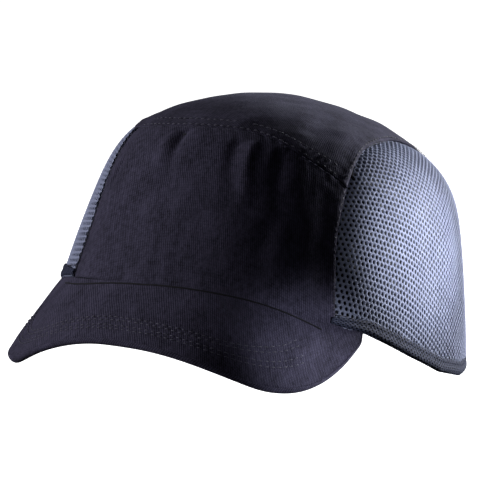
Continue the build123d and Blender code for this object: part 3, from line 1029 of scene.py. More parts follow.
HEM_HEIGHT = 5.4
HEM_DROP = 0.8
BINDING_REACH = 8.0
ARCH_STITCH_RISE = 5.9
ARCH_STITCH_OUT = 0.60
TAPE_WIDTH = 12.0


FOLD_POINTS = 30


def folded_profile(points, thickness):
    """A closed profile for cloth folded along a few points, its outer side through them."""
    outer = smooth_line(points, FOLD_POINTS)
    way = unit(np.gradient(outer, axis=0))
    inner = outer + np.stack([way[:, 1], -way[:, 0]], -1) * thickness
    return np.concatenate([outer, inner[::-1]])


def edge_frames(chart_line, inward):
    """Places, in-surface directions into the cloth and normals along an edge."""
    points = on_crown(chart_line)
    normals = crown_normal(chart_line)
    tangent = unit(np.gradient(points, axis=0))
    side = unit(np.cross(normals, tangent))
    middle = len(points) // 2
    if np.dot(side[middle], inward) < 0:
        side = -side
    return points, side, normals


hem_profile = folded_profile([
    (HEM_HEIGHT, 0.0), (HEM_HEIGHT - 0.5, 0.45), (4.0, 0.60), (2.8, 0.38), (1.3, 0.62),
    (-0.1, 0.35), (-HEM_DROP, -0.6), (-0.1, -1.8), (1.5, -2.3), (3.4, -2.2), (HEM_HEIGHT - 0.3, -2.1)], 0.5)
HEM_RAISE = 1.3
HEM_STITCH_RISE = 3.9
HEM_STITCH_OUT = 0.62
HEM_PLACES = 210
FACING_HEIGHT = 27.0
FACING_DEPTH = 2.15
FACING_ROWS = 16
hem_place = np.arange(HEM_PLACES)
hem_ripple = 1.0 + 0.03 * np.sin(hem_place * 1.1) + 0.02 * np.sin(hem_place * 2.7)
hem_ripple *= 0.4 + 0.6 * np.clip(hem_place / 28.0, 0, 1)
hem_pieces, hem_rows, facings = [], [], []
for side_name, rim_side in (("left", hem_line_left), ("right", hem_line_right)):
    hem_chart = resample(rim_side, HEM_PLACES)
    hem_points, hem_side, hem_normal = edge_frames(hem_chart, (0, 0, 1))
    hem_points = hem_points + hem_side * HEM_RAISE
    hem = sweep(f"hem_fold_{side_name}", hem_points, hem_side, hem_normal, hem_profile, mesh_fold, hem_ripple)
    settle(hem, "cap", [f"hem_binding_{side_name}"])
    hem_pieces.append(hem)
    hem_rows.append((hem_points + hem_side * HEM_STITCH_RISE + hem_normal * HEM_STITCH_OUT, hem_normal))
    # A dark cloth facing inside the hem, which stops light coming through the lowest part of the net.
    rise = np.linspace(1.0, FACING_HEIGHT, FACING_ROWS)[:, None, None]
    facing_chart = hem_chart[None] * (1 - rise / np.linalg.norm(hem_chart, axis=-1)[None, :, None])
    hem_walk = line_length(hem_chart)
    facing_uv = np.stack(np.broadcast_arrays(hem_walk[None], rise[..., 0]), -1)
    facing = make(f"hem_facing_{side_name}", on_crown(facing_chart, FACING_DEPTH).reshape(-1, 3),
                  grid_faces(FACING_ROWS, HEM_PLACES), seam_tape, facing_uv.reshape(-1, 2))
    thicken(facing, 0.35, offset=0.0)
    settle(facing, "cap")
    facings.append((facing, float(hem_walk[-1])))


def end_wall_chart(x, z, way):
    """Chart points on the back wall (way 1) or front wall (way -1) whose rear view is (x, z)."""
    y_local = np.full_like(z, 95.0 * way)
    cos, sin = math.cos(CROWN_TILT), math.sin(CROWN_TILT)
    for _ in range(40):
        z_local = (z + y_local * sin) / cos
        level = z_local / CROWN_HEIGHT
        part = np.clip(np.abs(x) / (HALF_WIDTH * share(level)), 0, 0.999)
        y_local = 0.5 * y_local + 0.5 * way * HALF_LENGTH * share(level) * other_reach(part)
    return chart_of(to_world(np.stack([x, y_local, z_local], -1)))


# The binding of the nape arch: up one leg, over the arch and down the other leg.
arch_turn = np.linspace(0, np.pi, 90)
leg_z = np.linspace(ARCH_BASE - 4.2, ARCH_BASE, 6)[:-1]
leg_x = np.full(len(leg_z), ARCH_HALF_WIDTH)
arch_x = np.concatenate([leg_x, ARCH_HALF_WIDTH * np.cos(arch_turn), -leg_x])
arch_z = np.concatenate([leg_z, ARCH_BASE + (ARCH_TOP - ARCH_BASE) * np.sin(arch_turn), leg_z[::-1]])
arch_chart = end_wall_chart(arch_x, arch_z, 1)
arch_points, arch_side, arch_normal = edge_frames(resample(arch_chart, 150), (0, 0, 1))
arch_profile = folded_profile([
    (BINDING_REACH - 0.6, 0.1), (BINDING_REACH - 1.0, 0.50), (5.0, 0.66), (1.5, 0.74), (0.0, 0.45),
    (-0.6, -0.6), (0.0, -1.6), (1.5, -2.0), (5.0, -1.95), (BINDING_REACH - 0.8, -1.85)], 0.45)
arch_binding = sweep("arch_binding_roll", arch_points, arch_side, arch_normal, arch_profile, binding_tape)
settle(arch_binding, "cap", ["rear_arch_binding"])


TEMPLE_TAPE_WIDTH = 10.4
TEMPLE_TAPE_SHIFT = 3.2
PEAK_TAPE_SHIFT = 5.6


def tape(node, chart_line, depth=TAPE_DEPTH - 0.25, width=TAPE_WIDTH - 0.6, shift=0.0):
    """A flat tape inside the cap, shifted up from a seam, in place of a CAD node."""
    line = resample(chart_line, max(30, int(line_length(chart_line)[-1] / 2.5)))
    _, side, normals = edge_frames(line, (0, 0, 1))
    centres = on_crown(line, depth) + side * shift
    band = sweep(f"{node}_band", centres, side, normals, rounded_bar(width, 0.5, 0.2), seam_tape)
    settle(band, "cap", [node])
    return band, width


tapes = [
    tape("seam_tape_brow", brow_seam[14:-14]),
    tape("seam_tape_temple_left", temple_left[6:-14], 2.75, TEMPLE_TAPE_WIDTH, TEMPLE_TAPE_SHIFT),
    tape("seam_tape_temple_right", temple_right[6:-14], 2.3, TEMPLE_TAPE_WIDTH, TEMPLE_TAPE_SHIFT),
    tape("seam_tape_top_left", top_edge_left[14:-30]),
    tape("seam_tape_top_right", top_edge_right[14:-30]),
    tape("peak_seam_tape", rim_front[8:-8], LINING_DEPTH + 0.45, shift=PEAK_TAPE_SHIFT),
]

LINING_ROWS, LINING_COLUMNS = 40, 90
lining_chart = stretch_grid(front_coarse, LINING_ROWS, LINING_COLUMNS)
lining_uv = stretch_grid(front_flat, LINING_ROWS, LINING_COLUMNS)
front_lining = make("front_lining_cloth", on_crown(lining_chart, CLOTH + 0.35).reshape(-1, 3),
                    grid_faces(LINING_ROWS, LINING_COLUMNS), lining_cloth, lining_uv.reshape(-1, 2))
thicken(front_lining, 0.4)
settle(front_lining, "cap", ["front_lining"])


# ---------------------------------------------------------------- the peak

PEAK_HALF_WIDTH = 83.5
PEAK_BACK_Y = -40.0
PEAK_REACH = 91.0
PEAK_POWER = 2.8
RIGHT_POWER = 2.2
RIGHT_CORNER_POWER = 3.4
PEAK_ROLL = math.radians(2.3)
# The peak's arch falls by PEAK_FALL from its crest at a distance of PEAK_SPAN from the middle.
PEAK_CREST = 32.0
PEAK_FALL = 23.3
PEAK_SPAN = 60.0
PEAK_SLOPE = 0.62
PEAK_DROOP = 2.4
# The crown's front, at the height of the peak's seam.
SEAM_REACH = 102.6
SEAM_DIP = 5.0
TAIL_LENGTH = 7.5
RIGHT_SPREAD = 0.999
LEFT_SPREAD = 1.006
COVER = 0.9
BOARD_INSET = 1.8
EDGE_ROUND = 1.7
# Radius of the near-black cord that paints the peak seam's shadow.
SEAM_SHADOW_RADIUS = 0.4
# How far in from the peak's edge each of its rows of stitches runs.
PEAK_ROWS = (12.3, 10.8, 8.3, 6.8)


def peak_arch(x, y):
    """The height of a plain arch that slopes down forwards."""
    power = np.where(x < 0, RIGHT_POWER, PEAK_POWER)
    return PEAK_CREST - PEAK_FALL * (np.abs(x) / PEAK_SPAN) ** power + PEAK_SLOPE * (y + SEAM_REACH)


def plan_ratio(x, y, half_x, half_y):
    """Below 1 inside an outline like the crown's plan, with the given half width and half length."""
    return (np.abs(x / half_x) ** PLAN_POWER + np.abs(y / half_y) ** PLAN_POWER) ** (1 / PLAN_POWER)


def peak_top(x, y):
    """The height of the peak's upper side: on the crown's lower edge at its seam, a plain arch farther out."""
    beyond = plan_ratio(x, y, HALF_WIDTH, SEAM_REACH) - 1
    seam_y = -SEAM_REACH * other_reach(np.clip(np.abs(x) / HALF_WIDTH, 0, 0.985))
    proud = np.clip(peak_arch(x, seam_y) - rim_height(seam_y) - 0.3, 0, SEAM_DIP)
    # At the seam the upper side dips to the crown's edge; farther out it droops, and leans to one side.
    dip = proud * np.clip(1 - beyond / 0.24, 0, 1.1) ** 1.3
    droop = PEAK_DROOP * np.clip(beyond / 0.27, -0.2, 1.1)
    forward = np.clip((-60.0 - y) / 40.0, 0, 1)
    roll = math.tan(PEAK_ROLL) * x * forward
    # The wearer's-right corner is lifted, and the left one and the right tail are lower.
    corner_lift = 2.4 * np.exp(-((x + 71.0) / 9.0) ** 2) * forward
    low_edge = 1.6 * np.exp(-((x - 74.0) / 13.0) ** 2) * forward
    low_side = 2.4 * np.clip((-74.0 - x) / 8.0, 0, 1)
    return peak_arch(x, y) - dip - droop + roll + corner_lift - low_edge - low_side


def peak_thick(x):
    """The peak's thickness, a little more towards its two corners."""
    return 3.6 + 1.9 * np.clip((-x - 40.0) / 30.0, 0, 1) + 0.4 * np.clip((x - 20.0) / 30.0, 0, 1)


peak_turn = np.radians(np.linspace(-90, 90, 2001))
corner_power = np.where(peak_turn < 0, RIGHT_CORNER_POWER, PEAK_POWER)
peak_fan = np.stack([PEAK_HALF_WIDTH * np.sign(peak_turn) * np.abs(np.sin(peak_turn)) ** (2 / corner_power),
                     PEAK_BACK_Y - PEAK_REACH * np.abs(np.cos(peak_turn)) ** (2 / corner_power)], -1)

PEAK_ACROSS = 240
PEAK_TOP_ROWS = 64
PEAK_EDGE_ROWS = 9
PEAK_UNDER_ROWS = 30
BOARD_ROWS = 24
TAIL_Y = -43.0
peak_outline = even(peak_fan, PEAK_ACROSS)
peak_outline[:, 0] *= np.where(peak_outline[:, 0] < 0, RIGHT_SPREAD, LEFT_SPREAD)
tail_walk = np.linspace(0, walk(peak_fan)[-1], PEAK_ACROSS)
tail_walk = np.minimum(tail_walk, tail_walk[::-1])
tail_share = np.clip(tail_walk / TAIL_LENGTH, 0.02, 1)[:, None]
tail_share = np.sin(tail_share * np.pi / 2) ** 0.8
tail_chart = side_chart(np.array(TAIL_Y), np.array(rim_height(TAIL_Y)))
tail_angle = math.degrees(math.atan2(tail_chart[1], tail_chart[0]))
inner_chart = resample(rim(np.linspace(-180 - tail_angle, tail_angle, 400)), PEAK_ACROSS)
peak_inner = on_crown(inner_chart, 1.3)[:, :2]
peak_outline = peak_inner + (peak_outline - peak_inner) * tail_share
outline_way = unit(np.gradient(peak_outline, axis=0))
outline_out = np.stack([outline_way[:, 1], -outline_way[:, 0]], -1)


def raised(plan, height):
    """Points from their plan and their height."""
    return np.concatenate([plan, height[..., None]], -1)


def peak_relief(plan):
    """Grooves under the stitch rows, the seam at the edge, and a slight unevenness."""
    gap = nearest_gap(plan, even(peak_outline, 700))
    height = unevenness(plan, 38, 0.16) + unevenness(plan, 9, 0.05)
    for inset in PEAK_ROWS:
        height = height + groove(gap - inset, 0.55, 0.30)
    return height + 0.18 * np.exp(-((gap - 9.6) / 3.6) ** 2) + groove(gap - EDGE_ROUND, 0.6, 0.12)


def peak_rows(start_plan, end_plan, rows, drop=0.0):
    """Rows of plan points from one line to another, and their heights below the peak's upper side."""
    f = np.linspace(0, 1, rows)[:, None, None]
    plan = start_plan[None] * (1 - f) + end_plan[None] * f
    return plan, peak_top(plan[..., 0], plan[..., 1]) - drop


rounded_outline = peak_outline - outline_out * EDGE_ROUND
top_plan, top_height = peak_rows(peak_inner, rounded_outline, PEAK_TOP_ROWS)
# The relief starts from nothing at the seam.
relief_share = np.clip(np.linspace(0, 6, PEAK_TOP_ROWS), 0, 1)[:, None]
top_grid = raised(top_plan, top_height + peak_relief(top_plan) * relief_share)

# The edge turns under square to the slope of the upper side.
STEP = 0.5
outer_side, inner_side = (rounded_outline + outline_out * STEP * way for way in (1, -1))
fall = (peak_top(*outer_side.T) - peak_top(*inner_side.T)) / (2 * STEP)
fall = np.clip(fall, -1.3, 0.3)
lean = 1 / np.hypot(1, fall)
edge_top = peak_top(*rounded_outline.T)
edge_half = peak_thick(rounded_outline[:, 0]) / 2
edge_turn = np.linspace(np.pi / 2, -np.pi / 2, PEAK_EDGE_ROWS)[:, None]
edge_reach = EDGE_ROUND * np.cos(edge_turn)
edge_sink = edge_half * (np.sin(edge_turn) - 1)
edge_plan = rounded_outline + outline_out * (lean * edge_reach - fall * lean * edge_sink)[..., None]
edge_height = edge_top + fall * lean * edge_reach + lean * edge_sink
edge_grid = raised(edge_plan, edge_height)

under_start = edge_plan[-1]
under_share = np.linspace(0, 1, PEAK_UNDER_ROWS)[:, None]
under_drop = ((peak_top(*under_start.T) - edge_height[-1]) * (1 - under_share)
              + peak_thick(peak_inner[:, 0]) * under_share)
under_plan, under_height = peak_rows(under_start, peak_inner, PEAK_UNDER_ROWS, under_drop)
under_grid = raised(under_plan, under_height)


def along_rows(grid):
    """Cloth measures of a grid: across from its middle column, and along its columns."""
    across = np.concatenate([np.zeros((grid.shape[0], 1)),
                             np.cumsum(np.linalg.norm(np.diff(grid, axis=1), axis=-1), axis=1)], 1)
    across = across - across[:, grid.shape[1] // 2][:, None]
    down = np.concatenate([np.zeros((1, grid.shape[1])),
                           np.cumsum(np.linalg.norm(np.diff(grid, axis=0), axis=-1), axis=0)], 0)
    return np.stack([across, down], -1)


def plan_uv(grid):
    """Cloth measures on the peak: round its arch, and forward down its slope."""
    x = np.linspace(0, 90, 400)
    steepness = PEAK_FALL * PEAK_POWER / PEAK_SPAN * (x / PEAK_SPAN) ** (PEAK_POWER - 1)
    round_arch = np.concatenate([[0], np.cumsum(np.hypot(np.diff(x), (steepness * np.gradient(x))[1:]))])
    return np.stack([np.sign(grid[..., 0]) * np.interp(np.abs(grid[..., 0]), x, round_arch),
                     grid[..., 1] * math.hypot(1, PEAK_SLOPE)], -1)


peak_pieces = []
for name, grid, uv, node in (
        ("peak_top_cloth", top_grid, plan_uv(top_grid), "peak_top_cover"),
        ("peak_edge_cloth", edge_grid, along_rows(edge_grid), "peak_edge_roll"),
        ("peak_under_cloth", under_grid, plan_uv(under_grid), "peak_under_cover")):
    faces = grid_faces(*grid.shape[:2], flip=True)
    piece = make(name, grid.reshape(-1, 3), faces, twill_peak, uv.reshape(-1, 2))
    thicken(piece, COVER)
    settle(piece, "cap", [node])
    peak_pieces.append(piece)

board_outline = peak_outline - outline_out * (EDGE_ROUND + BOARD_INSET - 0.6)
board_plan, board_top = peak_rows(peak_inner, board_outline, BOARD_ROWS, COVER + 0.15)
board_bottom = board_top - (peak_thick(board_plan[..., 0]) - 2 * COVER - 0.3)
board_verts = np.concatenate([raised(board_plan, side).reshape(-1, 3) for side in (board_top, board_bottom)])
board_faces = slab_faces(BOARD_ROWS, PEAK_ACROSS, flip=True)
board = outward(make("peak_board_plate", board_verts, board_faces, peak_plastic))
settle(board, "cap", ["peak_board"])


def above_peak(world):
    """Positive above the peak's upper side."""
    return world[..., 2] - peak_top(world[..., 0], world[..., 1]) - 0.25


# A near-black cord along the seam where the front panel comes down onto the peak: painted shade for the seam's
# shadowed valley.
seam_shadow_turn = np.linspace(RIGHT_TEMPLE[0] - 4.0, front_angle - 4.0, 260)
seam_shadow_line = down_to(seam_shadow_turn, above_peak)
seam_shadow_side = edge_frames(seam_shadow_line, (0, 0, 1))[1]
seam_shadow_profile = polar(np.linspace(0, 360, 9)[:-1], SEAM_SHADOW_RADIUS)
seam_shadow = sweep("peak_seam_shadow", on_crown(seam_shadow_line, 0.05), seam_shadow_side, crown_normal(seam_shadow_line), seam_shadow_profile,
             seam_shadow_cord)
settle(seam_shadow, "cap")


# ---------------------------------------------------------------- stitching

def lifted(chart_line, height):
    """Places and normals along a line on the crown, lifted off it by height."""
    line = resample(chart_line, max(20, int(line_length(chart_line)[-1] / 0.8)))
    normals = crown_normal(line)
    return on_crown(line) + normals * height, normals


def beside(chart_line, distance, toward):
    """A line moved over the surface by a distance, towards a chart point."""
    line = resample(chart_line, max(20, int(line_length(chart_line)[-1] / 2)))
    way = unit(np.gradient(line, axis=0))
    side = np.stack([-way[:, 1], way[:, 0]], -1)
    middle = len(line) // 2
    if np.dot(side[middle], np.asarray(toward, float) - line[middle]) < 0:
        side = -side
    return line + side * distance


TOP = (0.0, 0.0)
FOREHEAD = (0, -110)
stitching("brow_topstitch", [lifted(beside(brow_seam, STITCH_NEAR, TOP)[3:-3], 0.0),
                             lifted(beside(brow_seam, STITCH_FAR, TOP)[4:-4], 0.0)])
stitching("strip_topstitch", [lifted(beside(line, STITCH_SIDE, TOP)[2:-4], 0.36)
                              for line in (top_edge_left, top_edge_right)])
stitching("temple_topstitch", [lifted(beside(line, STITCH_SIDE, FOREHEAD), -0.06)
                               for line in (temple_left, temple_right)])
stitching("hem_stitches", hem_rows)
arch_row = arch_points + arch_side * ARCH_STITCH_RISE + arch_normal * ARCH_STITCH_OUT
stitching("arch_stitches", [(arch_row, arch_normal)])

peak_stitch_rows = []
for inset in PEAK_ROWS:
    plan = peak_outline - outline_out * inset
    points = raised(plan, peak_top(*plan.T) - 0.02)
    local = to_local(points)
    width_share = share(local[:, 2] / CROWN_HEIGHT)
    ratio = plan_ratio(local[:, 0], local[:, 1], HALF_WIDTH * width_share, HALF_LENGTH * width_share)
    points = points[(ratio > 1.012) & (np.abs(plan[:, 0]) < 80.0 - 0.9 * inset)]
    x, y, _ = points.T
    east = peak_top(x + STEP, y) - peak_top(x - STEP, y)
    north = peak_top(x, y + STEP) - peak_top(x, y - STEP)
    peak_stitch_rows.append((points, unit(np.stack([-east, -north, np.ones(len(points))], -1))))
stitching("peak_topstitch", peak_stitch_rows)


# ---------------------------------------------------------------- the strap at the back

STRAP_CENTRE_Y = 26.0
STRAP_MID = 5.0
STRAP_WIDTH = 20.0
STRAP_LEAN = 0.229


def strap_point(angle, radius, height):
    """Points of the strap's cone, from degrees round it, the radius at its middle, and height."""
    x, y = polar(angle, radius - STRAP_LEAN * (height - STRAP_MID)).T
    return to_world(np.stack([x, STRAP_CENTRE_Y + y, height + 0 * x], -1))


def strap_piece(name, degrees, radii, material, width, rounding):
    """A flat band round the head, its two ends rounded over the given lengths in millimetres."""
    inner, outer = radii
    middle_radius = (inner + outer) / 2
    reach = math.radians(degrees[1] - degrees[0]) * middle_radius
    places = np.linspace(0, reach, max(24, int(reach / 1.2)))
    round_first, round_last = rounding
    if round_first:
        places = np.concatenate([np.linspace(0, 1, 10) ** 2 * round_first, places[places > round_first]])
    if round_last:
        last_places = reach - np.linspace(1, 0, 10) ** 2 * round_last
        places = np.concatenate([places[places < reach - round_last], last_places])
    fade = np.ones(len(places))
    for length, left in ((round_first, places), (round_last, reach - places)):
        if length:
            fade *= np.sqrt(1 - np.clip((length - left) / length, 0, 0.998) ** 2)
    profile = np.array(rounded_bar(width, outer - inner, (outer - inner) * 0.42))
    around = len(profile)
    verts = []
    for place, keep in zip(places, fade):
        angle = np.full(around, degrees[0] + math.degrees(place / middle_radius))
        verts.append(strap_point(angle, middle_radius + profile[:, 1], STRAP_MID + profile[:, 0] * keep))
    faces = grid_faces(len(places), around, wrap=True) + end_caps(len(places), around)
    uv = np.stack([np.repeat(places, around), (profile[:, 0][None] * fade[:, None]).ravel()], -1)
    return outward(make(name, np.concatenate(verts), faces, material, uv))


PATCH_WIDTH = STRAP_WIDTH - 3.0
for name, node, body, slot_name, material, degrees, radii, width, rounding in (
        ("loop_tab_webbing", "loop_tab", "cap", "webbing", webbing,
         (48, 114), (82.6, 83.6), STRAP_WIDTH, (0, 9)),
        ("loop_patch_pile", "loop_patch", "cap", "loop_pile", loop_pile,
         (57, 112), (83.6, 84.2), PATCH_WIDTH, (0, 7)),
        ("closure_tab_webbing", "closure_tab", "strap", "webbing", webbing,
         (69, 146), (85.1, 86.1), STRAP_WIDTH, (9, 0)),
        ("hook_patch_tape", "hook_patch", "strap", "hook_tape", hook_tape,
         (71, 115), (84.5, 85.1), PATCH_WIDTH, (7, 0))):
    settle(strap_piece(name, degrees, radii, material, width, rounding), body, [node])

# The flat cloth tunnel that the closure tab slides out of.
SLEEVE_START, SLEEVE_END = 123, 156
SLEEVE_RADIUS = 85.6
SLEEVE_PLACES = 44
sleeve_angles = np.linspace(SLEEVE_START, SLEEVE_END, SLEEVE_PLACES)
sleeve_outer = np.array(rounded_bar(22.4, 3.3, 1.2, 4))
sleeve_inner = np.array(rounded_bar(20.8, 1.8, 0.6, 4))
around = len(sleeve_outer)
sleeve_verts = []
for angle in sleeve_angles:
    pinch = 1.0 + 0.02 * math.sin(angle * 1.3)
    for profile in (sleeve_outer, sleeve_inner):
        sleeve_verts.append(strap_point(np.full(around, angle), SLEEVE_RADIUS + profile[:, 1] * pinch,
                                        STRAP_MID + profile[:, 0]))
sleeve_faces = []
for r in range(SLEEVE_PLACES - 1):
    for c in range(around):
        d = (c + 1) % around
        here, there = r * 2 * around, (r + 1) * 2 * around
        sleeve_faces.append((here + c, here + d, there + d, there + c))
        sleeve_faces.append((here + around + d, here + around + c, there + around + c, there + around + d))
for here in (0, (SLEEVE_PLACES - 1) * 2 * around):
    for c in range(around):
        d = (c + 1) % around
        sleeve_faces.append((here + c, here + d, here + around + d, here + around + c))
sleeve_walk = np.radians(sleeve_angles - SLEEVE_START) * SLEEVE_RADIUS
sleeve_across = np.concatenate([sleeve_outer[:, 0], sleeve_inner[:, 0]])
sleeve_uv = np.stack([np.repeat(sleeve_walk, 2 * around), np.tile(sleeve_across, SLEEVE_PLACES)], -1)
sleeve = make("strap_sleeve_cloth", np.concatenate(sleeve_verts), sleeve_faces, binding_tape, sleeve_uv)
settle(outward(sleeve), "cap", ["strap_sleeve"])


# ---------------------------------------------------------------- pads, sweatband and dots of the insert

def crown_over(x, y):
    """Chart points under a plan view of the crown's top, found by Newton's method."""
    target = np.stack([x, y], -1)
    chart = target * 1.05 - np.array([0, 25.0])
    for _ in range(30):
        here = on_crown(chart)[..., :2]
        east = (on_crown(chart + np.array([STEP, 0]))[..., :2] - here) / STEP
        north = (on_crown(chart + np.array([0, STEP]))[..., :2] - here) / STEP
        gap = target - here
        area = cross(east, north)
        area = np.where(np.abs(area) < 0.05, 0.05, area)
        chart = chart + np.clip(np.stack([cross(gap, north) / area, cross(east, gap) / area], -1), -6, 6)
    return chart


def round_square(rows, columns, power=7.0):
    """A grid over a square with rounded corners, from -1 to 1 each way."""
    v, u = np.meshgrid(np.linspace(-1, 1, rows), np.linspace(-1, 1, columns), indexing="ij")
    widest = np.maximum(np.abs(u), np.abs(v))
    size = np.maximum((np.abs(u) ** power + np.abs(v) ** power) ** (1 / power), 1e-9)
    return u * widest / size, v * widest / size, widest


def pillow(name, place, rows, columns, outer, inner, material, power=7.0, crown=0.6, round_off=0.35):
    """A padded piece against the shell, bulging from depth outer to inner; place(u, v) gives chart points."""
    u, v, widest = round_square(rows, columns, power)
    chart = place(u, v)
    swell = np.sqrt(np.clip(1 - np.clip((widest - 1 + round_off) / round_off, 0, 1) ** 2, 0, 1))
    dome = (1 - crown * 0.35 * widest ** 2)
    low = outer + (inner - outer) * np.clip(0.12 + 0.88 * swell * dome, 0, 1)
    back = on_crown(chart, outer)
    face = on_crown(chart, 0.0) + (on_crown(chart, outer) - on_crown(chart, 0.0)) * (low / outer)[..., None]
    verts = np.concatenate([back.reshape(-1, 3), face.reshape(-1, 3)])
    return outward(make(name, verts, slab_faces(rows, columns), material))


def plan_patch(x, y, half_x, half_y):
    """A patch on the top, by its plan."""
    return lambda u, v: crown_over(x + u * half_x, y + v * half_y)


def side_patch(sign, y_middle, y_half, rise_middle, rise_half):
    """A patch on a side wall, at a rise above the shell's edge; sign 1 is the wearer's left."""
    def place(u, v):
        y = y_middle + u * y_half
        chart = side_chart(y, shell_height(y) + rise_middle + v * rise_half)
        return chart * np.array([sign, 1])
    return place


def wall_patch(way, x_half, rise_middle, rise_half, y_guess):
    """A patch on the back wall (way 1) or front wall (way -1)."""
    def place(u, v):
        return end_wall_chart(u * x_half, shell_height(y_guess) + rise_middle + v * rise_half, way)
    return place


def band_place(u, v):
    """Places of the sweatband, all round the shell's edge."""
    rise = (7.5 + v * 14.5).ravel()

    def above_band(world):
        return world[..., 2] - shell_height(world[..., 1]) - rise

    return down_to((-90.0 + u * 91.5).ravel(), above_band).reshape(u.shape + (2,))


PAD_PLACES = [
    ("crown_pad_middle", plan_patch(0.0, 6.0, 12.0, 46.0), 61, 25),
    ("crown_pad_left", plan_patch(28.5, 6.0, 5.0, 46.0), 61, 25),
    ("crown_pad_right", plan_patch(-28.5, 6.0, 5.0, 46.0), 61, 25),
    ("side_pad_left", side_patch(1, 35.0, 27.0, 22.0, 18.0), 35, 45),
    ("side_pad_right", side_patch(-1, 35.0, 27.0, 22.0, 18.0), 35, 45),
    ("rear_pad", wall_patch(1, 34.0, 22.0, 18.0, 98.0), 35, 51),
    ("brow_pad", wall_patch(-1, 42.0, 37.0, 11.0, -92.0), 25, 61),
]
for node, place, rows, columns in PAD_PLACES:
    pad = pillow(f"{node}_foam", place, rows, columns, SHELL_DEPTH, PAD_DEPTH, foam)
    settle(pad, "insert", [node])
sweatband = pillow("sweatband_towelling", band_place, 25, 181, SHELL_DEPTH, SWEATBAND_DEPTH, towelling,
                   power=9.0, crown=0.3, round_off=0.5)
settle(sweatband, "insert", ["sweatband"])

DOT_RADIUS = 5.7
DOT_PLACES = [(28.5, -17.0), (-28.5, -17.0), (28.5, 21.0), (-28.5, 21.0)]


def dots(name, outer, inner, material, body, node):
    """The four round dots of one side of the fastening, as one piece."""
    verts, faces = [], []
    for x, y in DOT_PLACES:
        piece = pillow("dot", plan_patch(x, y, DOT_RADIUS, DOT_RADIUS), 15, 15, outer, inner, material,
                       power=2.0, round_off=0.2)
        base = len(verts)
        verts += [tuple(v.co / MM) for v in piece.data.vertices]
        faces += [tuple(i + base for i in p.vertices) for p in piece.data.polygons]
        bpy.data.objects.remove(piece)
    settle(outward(make(name, verts, faces, material)), body, [node])


dots("insert_loop_dots_pile", CLOTH + 0.35, 1.95, loop_pile, "cap", "insert_loop_dots")
dots("insert_hook_dots_tape", 2.05, SHELL_TOP, hook_tape, "insert", "insert_hook_dots")


# ---------------------------------------------------------------- flat sizes and areas of the peak's covers

def flat_area(flat):
    """The area of a flattened grid, in square millimetres."""
    rising = flat[1:, 1:] - flat[:-1, :-1]
    falling = flat[1:, :-1] - flat[:-1, 1:]
    return float(np.abs(cross(rising, falling)).sum() / 2)


def cut_size(flat, missing=0.0):
    """Flat width and length in metres, and area in square metres, of a flattened grid."""
    width, length = np.ptp(flat.reshape(-1, 2), axis=0) * MM
    area = (flat_area(flat) - missing) * MM * MM
    return (float(width), float(length)), float(min(area, width * length))


# The cloth turned in at a peak cover's seams, and the least of its flat box that an arched cover fills.
SEAM_ALLOWANCE = 3.5
LEAST_FILL = 0.31
for piece, grid in zip(peak_pieces, (top_grid, edge_grid, under_grid)):
    size, area = cut_size(along_rows(grid))
    size = (size[0], size[1] + 2 * SEAM_ALLOWANCE * MM)
    area = max(area, LEAST_FILL * size[0] * size[1])


# ---------------------------------------------------------------- camera, light and floor

# The camera was fitted to the photo's outline, together with the crown.
CAMERA_TURN = math.radians(33.224)
CAMERA_RISE = math.radians(14.037)
CAMERA_DISTANCE = 2.0
LENS = 305.3
VIEW_RIGHT, VIEW_UP = -0.0071, 0.0261

right = Vector((math.cos(CAMERA_TURN), math.sin(CAMERA_TURN), 0))
ahead = Vector((-math.sin(CAMERA_TURN) * math.cos(CAMERA_RISE),
                math.cos(CAMERA_TURN) * math.cos(CAMERA_RISE), -math.sin(CAMERA_RISE)))
upwards = right.cross(ahead)
target = right * VIEW_RIGHT + upwards * VIEW_UP
camera_data = bpy.data.cameras.new("camera")
camera_data.lens = LENS
camera_data.sensor_width = 36.0
camera_data.clip_end = 50.0
camera = bpy.data.objects.new("camera", camera_data)
bpy.context.collection.objects.link(camera)
camera.location = target - ahead * CAMERA_DISTANCE
camera.rotation_euler = ahead.to_track_quat("-Z", "Y").to_euler()
bpy.context.scene.camera = camera


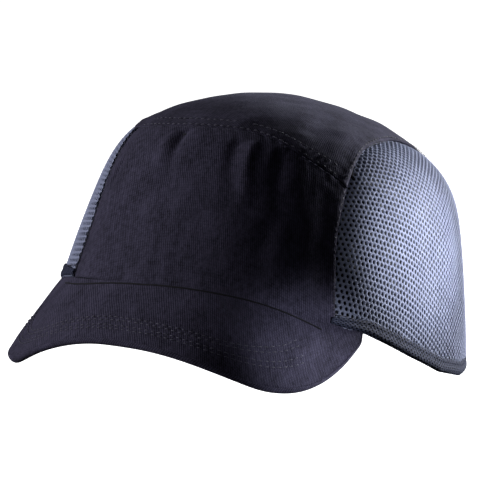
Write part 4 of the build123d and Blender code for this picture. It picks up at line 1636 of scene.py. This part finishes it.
def soft_light(name, place, size, watts, colour, aim=(0, 0, 0.03), spread=0.0):
    """A round soft light, or with a spread in degrees a soft spot."""
    data = bpy.data.lights.new(name, "SPOT" if spread else "AREA")
    if spread:
        data.spot_size = math.radians(spread)
        data.spot_blend = 1.0
        data.shadow_soft_size = size / 2
    else:
        data.shape = "DISK"
        data.size = size
    data.energy = watts
    data.color = colour
    light = bpy.data.objects.new(name, data)
    light.location = place
    light.rotation_euler = (Vector(aim) - Vector(place)).to_track_quat("-Z", "Y").to_euler()
    bpy.context.collection.objects.link(light)


# Two broad lights from the left and from behind on the right, a weak one in front, and two spots that
# brighten the peak's near corner and the net behind the temple.
COOL = (0.94, 0.95, 1.0)
soft_light("key_left", (-1.62, -1.13, 0.56), 1.1, 39, (1.0, 0.97, 1.0))
soft_light("strong_right", (0.57, 1.40, 0.15), 0.52, 56, COOL)
soft_light("front_fill", (0.35, -1.85, 0.75), 1.4, 2.5, (0.95, 0.94, 1.0))
soft_light("peak_glow", (0.95, -0.25, 0.14), 0.02, 40, COOL, (0.077, -0.076, 0.001), 5.2)
soft_light("net_glow", (0.90, 0.20, 0.26), 0.02, 66, (0.97, 0.98, 1.0), (0.082, 0.012, 0.036), 6.8)

world = bpy.data.worlds.new("white studio")
world.use_nodes = True
world.node_tree.nodes["Background"].inputs["Color"].default_value = (1, 1, 1, 1)
world.node_tree.nodes["Background"].inputs["Strength"].default_value = 1.0
bpy.context.scene.world = world
world.cycles_visibility.diffuse = False
world.cycles_visibility.glossy = False

FLOOR_HEIGHT = -0.25
FLOOR_HALF = 3.0
FLOOR_CORNERS = [(FLOOR_HALF * x, FLOOR_HALF * y) for x, y in ((-1, -1), (1, -1), (1, 1), (-1, 1))]
floor_material = bpy.data.materials.new("white floor")
floor_material.use_nodes = True
floor_shader = floor_material.node_tree.nodes["Principled BSDF"]
floor_shader.inputs["Base Color"].default_value = (0.8, 0.8, 0.8, 1)
floor_shader.inputs["Emission Color"].default_value = (1, 1, 1, 1)
floor_shader.inputs["Emission Strength"].default_value = 1.0
floor_mesh = bpy.data.meshes.new("floor")
floor_mesh.from_pydata([(x, y, FLOOR_HEIGHT) for x, y in FLOOR_CORNERS], [], [(0, 1, 2, 3)])
floor_mesh.materials.append(floor_material)
floor = bpy.data.objects.new("floor", floor_mesh)
floor.visible_diffuse = False
floor.visible_glossy = False
bpy.context.collection.objects.link(floor)
bpy.context.scene.view_settings.view_transform = "Standard"
